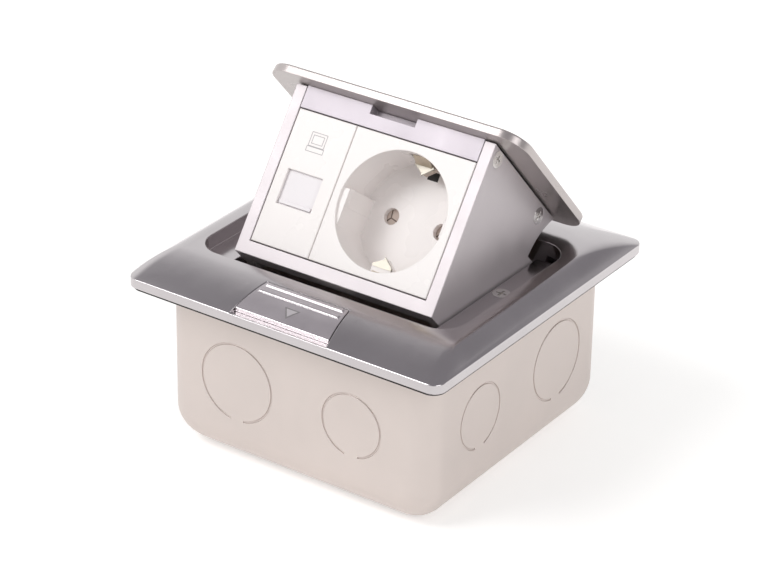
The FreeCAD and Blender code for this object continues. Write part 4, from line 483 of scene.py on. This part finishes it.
@dataclass(frozen=True)
class BackBox:
    """The sunk steel box, its ears, earth terminal and seal.

    Attributes:
        edge: softening of the box's rim and score lines.
        ear_edge: softening of the bent ears.
        small_edge: softening of the terminal's pieces.
    """

    edge: float = 0.22 * MM
    ear_edge: float = 0.2 * MM
    small_edge: float = 0.12 * MM

    def build(self) -> None:
        """Dress the box and what is fixed in it."""
        soften("back_box", BOX_STEEL, self.edge)
        soften("fixing_ears", BOX_STEEL, self.ear_edge)
        soften("plate_gasket", SEAL_RUBBER, self.ear_edge)
        for node in ("earth_nut", "earth_washer", "earth_screw"):
            soften(node, PLATED_SHEET, self.small_edge)


@dataclass(frozen=True)
class CoverPlate:
    """The cast plate and its two screws.

    Attributes:
        edge: softening of the casting.
        screw_edge: softening of the screws.
    """

    edge: float = 0.3 * MM
    screw_edge: float = 0.12 * MM

    def build(self) -> None:
        """Dress the plate and its screws."""
        soften("top_plate", CASTING, self.edge, 3)
        soften("plate_screws", PLATED_SCREW, self.screw_edge)


@dataclass(frozen=True)
class Hinge:
    """The bracket, pin and torsion springs that lift the module.

    Attributes:
        edge: softening of the bracket.
        winding: how the torsion springs are wound.
        spring_start: the springs' inner ends from the middle, along the pin.
        spring_length: their length along the pin.
        fixed_leg: the leg that stands against the bracket.
        moving_leg: the leg that lies along the module's arm.
    """

    edge: float = 0.2 * MM
    winding: Winding = Winding(3.1 * MM, 0.45 * MM, 6.6)
    spring_start: float = 25.0 * MM
    spring_length: float = 7.2 * MM
    fixed_leg: float = 7.0 * MM
    moving_leg: float = 9.0 * MM

    def build(self) -> None:
        """Dress the bracket and pin, and wind the springs round the pin."""
        soften("hinge_bracket", PLATED_SHEET, self.edge)
        soften("bracket_screws", PLATED_SCREW, self.edge)
        soften("hinge_pin", PLATED_SCREW, self.edge)
        soften("hinge_clips", PLATED_SHEET, self.edge / 2)
        soften("hinge_washers", BEARING, self.edge / 2)
        for side, sign in SIDES:
            self.spring(side, sign)

    def spring(self, side: str, sign: int) -> None:
        """Wind one torsion spring with its fixed leg, and its moving leg apart.

        Args:
            side: left or right.
            sign: -1 on the left, 1 on the right.
        """
        pivot = Vector(JOINT["module_tilt"]["pos_m"])
        along = Vector((sign, 0.0, 0.0))
        shape = self.winding.wind(self.spring_length, 0.0)
        start = pivot + along * self.spring_start
        bmesh.ops.transform(shape, matrix=standing(start, along), verts=shape.verts)
        rear = start + along * self.winding.wire + Vector((0, self.winding.coil, 0))
        self.winding.leg(shape, rear, rear + Vector((0, 0, self.fixed_leg)))
        coil = add_piece(f"{side}_torsion_spring_coil", shape, SPRING_WIRE, Body.HOUSING.value)
        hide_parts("torsion_springs")
        front = start + along * (self.spring_length - self.winding.wire) - Vector((0, self.winding.coil, 0))
        slant = Vector((0, -1, 1)).normalized()
        shape = bmesh.new()
        self.winding.leg(shape, front, front + slant * self.moving_leg)
        leg = add_piece(f"{side}_torsion_spring_leg", shape, SPRING_WIRE, Body.MODULE.value)
        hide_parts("torsion_springs")


@dataclass(frozen=True)
class Latch:
    """The sliding button, its bolt, screws and return springs.

    Attributes:
        edge: softening of the button.
        bolt_edge: softening of the bolt and screws.
        winding: how the return springs are wound.
        arrow_middle: the arrow's middle behind the origin.
        arrow_size: half the arrow's width and half its length.
        arrow_line: the width of its dark outline, which is painted shade.
        arrow_cuts: the cuts in each of its edges, so that it bends with the button.
        proud: its height over the button.
    """

    edge: float = 0.25 * MM
    bolt_edge: float = 0.12 * MM
    winding: Winding = Winding(1.2 * MM, 0.2 * MM, 5.0)
    arrow_middle: float = -53.4 * MM
    arrow_size: tuple[float, float] = (2.9 * MM, 2.0 * MM)
    arrow_line: float = 0.4 * MM
    arrow_cuts: int = 3
    proud: float = 0.03 * MM

    def build(self) -> None:
        """Dress the latch, wind its springs and draw its arrow."""
        soften("latch_slider", BUTTON, self.edge, 3)
        soften("latch_bolt", PLATED_SHEET, self.bolt_edge)
        soften("latch_screws", PLATED_SCREW, self.bolt_edge)
        CoilPair("latch_springs", self.winding, "latch_slide").build()
        # The dark outline is painted shade for an engraving's walls; the lighter triangle is laid over it.
        self.arrow("latch_arrow_shade_outline", ARROW_PAINTED_SHADE, 0.0, self.proud)
        self.arrow("latch_arrow", ARROW_LIGHT, self.arrow_line, 2 * self.proud)

    def arrow(self, name: str, finish: Finish, inset: float, proud: float) -> None:
        """Lay a triangle on the button that points the way it slides.

        Args:
            name: the piece's name.
            finish: its finish.
            inset: how much smaller than the arrow it is all round.
            proud: its height over the button.
        """
        half_width, half_length = self.arrow_size
        shape = bmesh.new()
        rear, tip = half_length - inset, -half_length + 2 * inset
        side = half_width - 2 * inset
        prism(shape, [(-side, rear), (0.0, tip), (side, rear)], -self.edge, 0.0)
        bmesh.ops.translate(shape, vec=(0.0, self.arrow_middle, 0.0), verts=shape.verts)
        button = bmesh.new()
        button.from_mesh(frame["nodes"]["latch_slider"].data)
        surface = BVHTree.FromBMesh(button)
        button.free()
        bmesh.ops.subdivide_edges(shape, edges=shape.edges[:], cuts=self.arrow_cuts, use_grid_fill=True)
        for corner in shape.verts:
            above = Vector((corner.co.x, corner.co.y, OVER_ALL))
            corner.co.z += surface.ray_cast(above, DOWN)[0].z + proud
        add_piece(name, shape, finish, Body.LATCH.value)


# ---------------------------------------------------------------- module


@dataclass(frozen=True)
class TiltFrame:
    """The lid and the frame under it, with their bars and screws.

    Attributes:
        edge: softening of the frame and its bars.
        lid_edge: softening of the lid.
        screw_edge: softening of the screws.
    """

    edge: float = 0.25 * MM
    lid_edge: float = 0.2 * MM
    screw_edge: float = 0.12 * MM

    def build(self) -> None:
        """Dress the lid, the frame, the bars and the screws."""
        soften("lid", LID_SILVER, self.lid_edge, 3)
        soften("tilt_frame", FRAME_SILVER, self.edge, 3)
        soften("top_bar", BAR_SILVER, self.edge)
        soften("rear_bar", FRAME_SILVER, self.edge)
        soften("frame_screws", PLATED_SCREW, self.screw_edge)
        soften("lid_screws", PLATED_SCREW, self.screw_edge)


@dataclass(frozen=True)
class PowerOutlet:
    """The recessed power outlet with its contacts, earth strap and pin shutter.

    Attributes:
        edge: softening of the front.
        small_edge: softening of the pieces behind it.
        winding: how the pin shutter's springs are wound.
    """

    edge: float = 0.2 * MM
    small_edge: float = 0.12 * MM
    winding: Winding = Winding(0.7 * MM, 0.15 * MM, 6.0)

    def build(self) -> None:
        """Dress the outlet and wind its springs."""
        soften("socket_fascia", OUTLET_WHITE, self.edge, 3)
        soften("socket_base", BASE_PLASTIC, self.edge)
        soften("socket_shutter", PIN_SHUTTER, self.small_edge)
        soften("earth_strap", CLIP_METAL, self.small_edge)
        for node in ("live_contact", "neutral_contact"):
            soften(node, BRASS, self.small_edge)
        for node in ("terminal_screws", "socket_assembly_screws"):
            soften(node, PLATED_SCREW, self.small_edge)
        CoilPair("socket_shutter_springs", self.winding, "socket_shutter_slide").build()
        RecessTrim().build()


@dataclass(frozen=True)
class Face:
    """The slanted front of the module, as axes for what is marked on it.

    Attributes:
        foot: the middle of the front's lower edge.
        up: the way up the front.
        out: the way out of the front.
    """

    foot: Vector
    up: Vector
    out: Vector

    @classmethod
    def from_frame(cls) -> "Face":
        """Measure the front on the tilting frame.

        Returns:
            The front of the module.
        """
        up = Vector(JOINT["data_shutter_slide"]["axis"]).normalized()
        out = RIGHT.cross(up)
        spots = [v.co for v in frame["nodes"]["tilt_frame"].data.vertices]
        front = max(spot.dot(out) for spot in spots)
        lowest = min(spot.dot(up) for spot in spots if spot.dot(out) > front - WELD)
        return cls(out * front + up * lowest, up, out)

    def place(self, across: float, height: float, proud: float) -> Matrix:
        """Find the transform that lays a flat drawing on the front.

        Args:
            across: to the right of the middle.
            height: up the front from its lower edge.
            proud: out of the front.

        Returns:
            The transform.
        """
        turn = Matrix((RIGHT, self.up, self.out)).transposed().to_4x4()
        return Matrix.Translation(self.foot + RIGHT * across + self.up * height + self.out * proud) @ turn


@dataclass(frozen=True)
class RecessTrim:
    """What shows in the power outlet's recess: clip ends, a near-black sheet painted as the shade in a slot, a
    broad guide, and split wedges with dark lines painted as shade.

    Places are across from the module's middle and up from the front's lower edge; depths are
    behind the front.

    Attributes:
        middle: the middle of the recess.
        radius: its radius.
        floor: the depth of its floor.
        clip_reach: the lower and the upper clip's fold from the middle of the recess.
        clip_depth: the depths of the lower and the upper clip's front.
        clip_size: half the width and the rise of a clip's fold.
        clip_band: the height of its band.
        clip_sheet: the band from front to back.
        back_depth: how far what stands behind a clip reaches.
        slot: half the width and the height of the slot in the recess's floor.
        slot_foot: the slot's lower edge above the middle of the recess.
        guide_inside: the guide's inner face from the middle of the recess.
        guide_top: its upper edge above the middle of the recess.
        guide_depth: the depth of its front.
        wall_steps: the facets of a full circle along the wall.
        pin_place: a pin hole from the middle of the recess.
        split_turns: the turn and the length of each line between a wedge's faces.
        split_meet: where these lines meet, from the middle of the pin hole.
        split: the width of the lines, which are painted shade.
        proud: their height over the wedge.
    """

    middle: tuple[float, float] = (11.25 * MM, 27.3 * MM)
    radius: float = 19.7 * MM
    floor: float = 17.5 * MM
    clip_reach: tuple[float, float] = (13.7 * MM, 14.5 * MM)
    clip_depth: tuple[float, float] = (6.6 * MM, 9.4 * MM)
    clip_size: tuple[float, float] = (3.6 * MM, 2.9 * MM)
    clip_band: float = 0.8 * MM
    clip_sheet: float = 0.9 * MM
    back_depth: float = 4.0 * MM
    # slot: half the width and the height of the near-black sheet, painted shade, that stands for the slot in the
    # recess's floor.
    slot: tuple[float, float] = (2.0 * MM, 2.8 * MM)
    slot_foot: float = 14.7 * MM
    guide_inside: float = 17.4 * MM
    guide_top: float = 2.8 * MM
    guide_depth: float = 1.0 * MM
    wall_steps: int = 160
    pin_place: float = 9.5 * MM
    split_turns: tuple[tuple[float, float], ...] = ((8.0, 2.6 * MM), (140.0, 2.6 * MM), (-105.0, 3.2 * MM))
    split_meet: tuple[float, float] = (-1.3 * MM, -0.3 * MM)
    split: float = 0.4 * MM
    proud: float = 0.03 * MM

    @property
    def wall(self) -> float:
        """Where trim that grows out of the recess's wall starts, just inside the wall."""
        return self.radius + self.clip_band / 2

    def build(self) -> None:
        """Add the trim."""
        face = Face.from_frame()
        self.clip(face, "lower", -1, OUTLET_WHITE)
        self.clip(face, "upper", 1, CLIP_BACK)
        self.floor_slot(face)
        self.guide(face)
        self.wedge_shade_lines(face)

    def hand_over(self, face: Face, name: str, shape: bmesh.types.BMesh, finish: Finish) -> None:
        """Move a flat drawing round the recess's middle into its place on the module.

        Args:
            face: the module's front.
            name: the piece's name.
            shape: the drawing, with depths as negative heights.
            finish: its finish.
        """
        bmesh.ops.transform(shape, matrix=face.place(*self.middle, 0.0), verts=shape.verts)
        add_piece(name, shape, finish, Body.MODULE.value)

    def clip(self, face: Face, side: str, sign: int, back: Finish) -> None:
        """Fold a clip's band towards the middle, over what stands behind it.

        Args:
            face: the module's front.
            side: lower or upper.
            sign: -1 below the middle, 1 above it.
            back: the finish of what stands behind the band.
        """
        reach, depth = ((low, high)[sign > 0] for low, high in (self.clip_reach, self.clip_depth))
        half, rise = self.clip_size
        ridge, foot = reach, reach + rise
        band = [(-half, foot), (0.0, ridge), (half, foot), (half, foot + self.clip_band),
                (0.0, ridge + self.clip_band), (-half, foot + self.clip_band)]
        shape = bmesh.new()
        prism(shape, [(across, sign * along) for across, along in band], -depth - self.clip_sheet, -depth)
        self.hand_over(face, f"{side}_clip_end", shape, CLIP_END)
        behind = [(-half, self.wall), (-half, foot + self.clip_band / 2), (0.0, ridge + self.clip_band / 2),
                  (half, foot + self.clip_band / 2), (half, self.wall)]
        shape = bmesh.new()
        prism(shape, [(across, sign * along) for across, along in behind], -depth - self.back_depth,
              -depth - self.clip_sheet / 4)
        self.hand_over(face, f"{side}_clip_back", shape, back)

    def floor_slot(self, face: Face) -> None:
        """Lay a near-black sheet, as painted shade, where the slot that the upper clip comes through is.

        Args:
            face: the module's front.
        """
        half, height = self.slot
        top = self.slot_foot + height
        shape = bmesh.new()
        prism(shape, [(-half, self.slot_foot), (half, self.slot_foot), (half, top), (-half, top)],
              -self.floor - self.proud, -self.floor + self.proud)
        # The slot is not cut; this sheet paints its shade.
        self.hand_over(face, "clip_slot_shade_patch", shape, SLOT_PAINTED_SHADE)

    def guide(self, face: Face) -> None:
        """Add the broad flat guide along the left wall, which fades into the wall at its foot.

        Args:
            face: the module's front.
        """
        shape = bmesh.new()
        bmesh.ops.create_circle(shape, cap_ends=True, segments=self.wall_steps, radius=self.wall)
        bmesh.ops.translate(shape, vec=(0.0, 0.0, -self.floor), verts=shape.verts)
        for spot, way in (((-self.guide_inside, 0.0, 0.0), (1.0, 0.0, 0.0)),
                          ((0.0, self.guide_top, 0.0), (0.0, 1.0, 0.0))):
            whole = shape.verts[:] + shape.edges[:] + shape.faces[:]
            bmesh.ops.bisect_plane(shape, geom=whole, plane_co=spot, plane_no=way, clear_outer=True)
        raise_faces(shape, shape.faces[:], self.floor - self.guide_depth)
        self.hand_over(face, "left_guide", shape, OUTLET_WHITE)

    def wedge_shade_lines(self, face: Face) -> None:
        """Draw dark lines, as painted shade, where the faces of each pin hole's wedge meet.

        Args:
            face: the module's front.
        """
        spots = [v.co for v in frame["nodes"]["socket_shutter"].data.vertices]
        depth = face.foot.dot(face.out) - max(spot.dot(face.out) for spot in spots)
        for side, sign in SIDES:
            shape = bmesh.new()
            for turn, length in self.split_turns:
                line = prism(shape, [(-self.split / 2, 0.0), (self.split / 2, 0.0), (self.split / 2, length),
                                     (-self.split / 2, length)], -depth, -depth + self.proud)
                bmesh.ops.rotate(shape, verts=line, cent=(0, 0, 0),
                                 matrix=Matrix.Rotation(math.radians(turn), 3, "Z"))
                meet = (sign * self.pin_place + self.split_meet[0], self.split_meet[1], 0.0)
                bmesh.ops.translate(shape, vec=meet, verts=line)
            bmesh.ops.transform(shape, matrix=face.place(*self.middle, 0.0), verts=shape.verts)
            # These dark lines paint the shade where the wedge's faces meet.
            add_piece(f"{side}_wedge_shade_lines", shape, SPLIT_PAINTED_SHADE, Body.PIN_SHUTTER.value)


@dataclass(frozen=True)
class DataOutlet:
    """The shuttered data outlet with its jack and its small computer mark.

    Attributes:
        edge: softening of the front.
        small_edge: softening of the pieces behind it.
        winding: how the dust shutter's springs are wound.
        mark_middle: the mark's middle from the module's middle.
        screen_foot: the screen's lower edge above the front's lower edge.
        screen: the screen's width and height.
        screen_rim: the screen's rim to the square inside it.
        base: the width and height of the strip under the screen.
        line: the width of the mark's lines.
        proud: their height over the plastic.
    """

    edge: float = 0.2 * MM
    small_edge: float = 0.12 * MM
    winding: Winding = Winding(0.4 * MM, 0.12 * MM, 8.0)
    mark_middle: float = -23.0 * MM
    screen_foot: float = 39.1 * MM
    screen: tuple[float, float] = (6.1 * MM, 4.8 * MM)
    screen_rim: float = 0.9 * MM
    base: tuple[float, float] = (6.7 * MM, 1.8 * MM)
    line: float = 0.22 * MM
    proud: float = 0.03 * MM

    def build(self) -> None:
        """Dress the outlet, wind its springs and draw its mark."""
        soften("data_fascia", OUTLET_WHITE, self.edge, 3)
        soften("data_shutter", SHUTTER_WHITE, self.small_edge)
        soften("jack_carrier", OUTLET_WHITE, self.small_edge)
        soften("data_jack", JACK_PLASTIC, self.small_edge)
        soften("jack_cap", JACK_PLASTIC, self.edge)
        paint("jack_contacts", GOLD_WIRE)
        CoilPair("data_shutter_springs", self.winding, "data_shutter_slide").build()
        self.mark()

    def outline(self, shape: bmesh.types.BMesh, width: float, height: float, foot: float) -> None:
        """Add a thin rectangular line to the mark.

        Args:
            shape: the mark, drawn flat around the screen's lower edge.
            width: the rectangle's width.
            height: the rectangle's height.
            foot: its lower edge above the screen's lower edge.
        """
        sheet = bmesh.ops.create_grid(shape, x_segments=1, y_segments=1, size=0.5)["verts"]
        bmesh.ops.scale(shape, vec=(width, height, 1.0), verts=sheet)
        bmesh.ops.translate(shape, vec=(0.0, foot + height / 2, 0.0), verts=sheet)
        middle = list({face for corner in sheet for face in corner.link_faces})
        bmesh.ops.inset_individual(shape, faces=middle, thickness=self.line, use_even_offset=True)
        bmesh.ops.delete(shape, geom=middle, context="FACES_ONLY")

    def mark(self) -> None:
        """Draw a computer: a screen with a square inside it, over a strip."""
        shape = bmesh.new()
        width, height = self.screen
        self.outline(shape, width, height, 0.0)
        self.outline(shape, width - 2 * self.screen_rim, height - 2 * self.screen_rim, self.screen_rim)
        self.outline(shape, *self.base, -self.base[1])
        raise_faces(shape, shape.faces[:], self.proud, keep=False)
        spot = Face.from_frame().place(self.mark_middle, self.screen_foot, 0.0)
        bmesh.ops.transform(shape, matrix=spot, verts=shape.verts)
        add_piece("computer_mark", shape, MARK_GREY, Body.MODULE.value)


# ---------------------------------------------------------------- studio


@dataclass(frozen=True)
class Lamp:
    """A soft square lamp.

    Attributes:
        name: its name.
        place: its place.
        size: its width.
        power: its power.
    """

    name: str
    place: Vector
    size: float
    power: float

    def hang(self, aim: Vector) -> None:
        """Hang the lamp so that it faces a point.

        Args:
            aim: the point.
        """
        data = bpy.data.lights.new(self.name, "AREA")
        data.size = self.size
        data.energy = self.power
        lamp = bpy.data.objects.new(self.name, data)
        lamp.location = self.place
        lamp.rotation_euler = (aim - self.place).to_track_quat("-Z", "Y").to_euler()
        bpy.context.scene.collection.objects.link(lamp)


@dataclass(frozen=True)
class Studio:
    """The floor, the light and the camera.

    Attributes:
        aim: the point that the camera looks at.
        azimuth: the camera's bearing, from the front towards the right.
        elevation: the camera's height above the horizon.
        roll: the camera's tilt about its line of sight.
        distance: the camera from the point it looks at.
        lens: its focal length, in millimetres on the sensor.
        near: the nearest that the camera sees.
        lamps: the lamps.
        floor_size: the floor's width.
        paper: the floor's colour.
        glow_from: how far back the floor's glow starts and stops growing.
        glow: its strength at these two places.
        sky_lean: how much the horizon's white leans to the right.
        sky_span: the heights between which the white fades.
        horizon: the colour that the object mirrors at the horizon.
        zenith: the colour that it mirrors overhead.
        daylight: the strength of the even light.
    """

    aim: Vector = Vector((-11.6 * MM, 14.6 * MM, 40.1 * MM))
    azimuth: float = 34.598
    elevation: float = 27.968
    roll: float = 0.987
    distance: float = 1.0
    lens: float = 142.16
    near: float = 0.01
    lamps: tuple[Lamp, ...] = (Lamp("key_light", Vector((-0.9, -1.1, 1.5)), 1.0, 17.0),
                               Lamp("fill_light", Vector((1.3, -0.5, 0.9)), 0.9, 6.0))
    floor_size: float = 6.0
    paper: Colour = (0.86, 0.85, 0.84)
    glow_from: tuple[float, float] = (-0.3, 0.5)
    glow: tuple[float, float] = (0.28, 0.62)
    sky_lean: float = 0.4
    sky_span: tuple[float, float] = (0.24, 0.62)
    horizon: Colour = (1.0, 1.0, 1.0)
    zenith: Colour = (0.31, 0.30, 0.32)
    daylight: float = 0.50

    def build(self) -> None:
        """Set up the floor, the world, the lamps and the camera."""
        self.floor()
        self.world()
        for lamp in self.lamps:
            lamp.hang(self.aim)
        self.camera()

    def floor(self) -> None:
        """Lay a pale floor that keeps the object's shadow.

        It glows to rays that show it and not to rays that light the object.
        """
        shape = bmesh.new()
        bmesh.ops.create_grid(shape, x_segments=1, y_segments=1, size=self.floor_size / 2)
        mesh = bpy.data.meshes.new("floor")
        shape.to_mesh(mesh)
        shape.free()
        floor = bpy.data.objects.new("floor", mesh)
        bpy.context.scene.collection.objects.link(floor)
        made = bpy.data.materials.new("pale_floor")
        made.use_nodes = True
        tree = NodeTree(made.node_tree)
        seen = self.seen_directly(tree)
        paper = tree.add("ShaderNodeBsdfDiffuse", {"Color": (*self.paper, 1.0)})
        place = tree.add("ShaderNodeTexCoord").outputs["Object"]
        along = tree.add("ShaderNodeSeparateXYZ", {"Vector": place}).outputs["Y"]
        sweep = tree.add("ShaderNodeMapRange", {
            "Value": along, "From Min": self.glow_from[0], "From Max": self.glow_from[1],
            "To Min": self.glow[0], "To Max": self.glow[1]})
        glow = tree.add("ShaderNodeEmission", {"Strength": sweep.outputs["Result"]})
        dark = tree.add("ShaderNodeEmission", {"Strength": 0.0})
        extra = tree.add("ShaderNodeMixShader", {0: seen, 1: dark.outputs[0], 2: glow.outputs[0]})
        both = tree.add("ShaderNodeAddShader", {0: paper.outputs[0], 1: extra.outputs[0]})
        tree.add("ShaderNodeOutputMaterial", {"Surface": both.outputs[0]})
        mesh.materials.append(made)
        floor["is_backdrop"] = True

    @staticmethod
    def seen_directly(tree: NodeTree) -> bpy.types.NodeSocket:
        """Tell rays that show the background from rays that light the object.

        Args:
            tree: the nodes of the floor or the world.

        Returns:
            A socket that is 1 for camera, glossy and transmission rays.
        """
        path = tree.add("ShaderNodeLightPath")
        either = tree.add("ShaderNodeMath", {0: path.outputs["Is Camera Ray"],
                                             1: path.outputs["Is Glossy Ray"]}, operation="MAXIMUM")
        return tree.add("ShaderNodeMath", {0: either.outputs[0], 1: path.outputs["Is Transmission Ray"]},
                        operation="MAXIMUM").outputs[0]

    def world(self) -> None:
        """Light the object evenly, and let it mirror white at the horizon and grey overhead."""
        world = bpy.data.worlds.new("studio")
        bpy.context.scene.world = world
        world.use_nodes = True
        tree = NodeTree(world.node_tree)
        way = tree.add("ShaderNodeTexCoord").outputs["Generated"]
        axes = tree.add("ShaderNodeSeparateXYZ", {"Vector": way})
        towards = tree.add("ShaderNodeMath", {0: axes.outputs["X"], 1: self.sky_lean, 2: axes.outputs["Z"]},
                           operation="MULTIPLY_ADD").outputs[0]
        seen = tree.ramp(towards, *self.sky_span, self.horizon, self.zenith)
        shown = tree.add("ShaderNodeBackground", {"Color": seen, "Strength": 1.0})
        light = tree.add("ShaderNodeBackground", {"Color": (1.0, 1.0, 1.0, 1.0), "Strength": self.daylight})
        mixed = tree.add("ShaderNodeMixShader", {0: self.seen_directly(tree), 1: light.outputs[0],
                                                 2: shown.outputs[0]})
        tree.add("ShaderNodeOutputWorld", {"Surface": mixed.outputs[0]})

    def camera(self) -> None:
        """Set the camera up at its bearing and height, rolled about its line of sight."""
        turn, rise = math.radians(self.azimuth), math.radians(self.elevation)
        back = Vector((math.sin(turn) * math.cos(rise), -math.cos(turn) * math.cos(rise), math.sin(rise)))
        data = bpy.data.cameras.new("camera")
        data.lens = self.lens
        data.clip_start = self.near
        camera = bpy.data.objects.new("camera", data)
        rolled = Matrix.Rotation(math.radians(self.roll), 4, "Z")
        camera.matrix_world = standing(self.aim + back * self.distance, back) @ rolled
        bpy.context.scene.collection.objects.link(camera)
        bpy.context.scene.camera = camera


def corners() -> list[list[float]]:
    """Measure the shown object.

    Returns:
        Its box's lowest and highest corner, as plain numbers.
    """
    return [list(corner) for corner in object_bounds()]


def main() -> None:
    """Build every sub-assembly and the studio."""
    logging.basicConfig(level=logging.INFO, format="%(message)s")
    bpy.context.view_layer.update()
    bpy.context.scene.view_settings.view_transform = "Standard"
    for assembly in (BackBox(), CoverPlate(), Hinge(), Latch(), TiltFrame(), PowerOutlet(), DataOutlet(),
                     Studio()):
        assembly.build()
    bpy.context.view_layer.update()


if __name__ == "__main__":
    main()
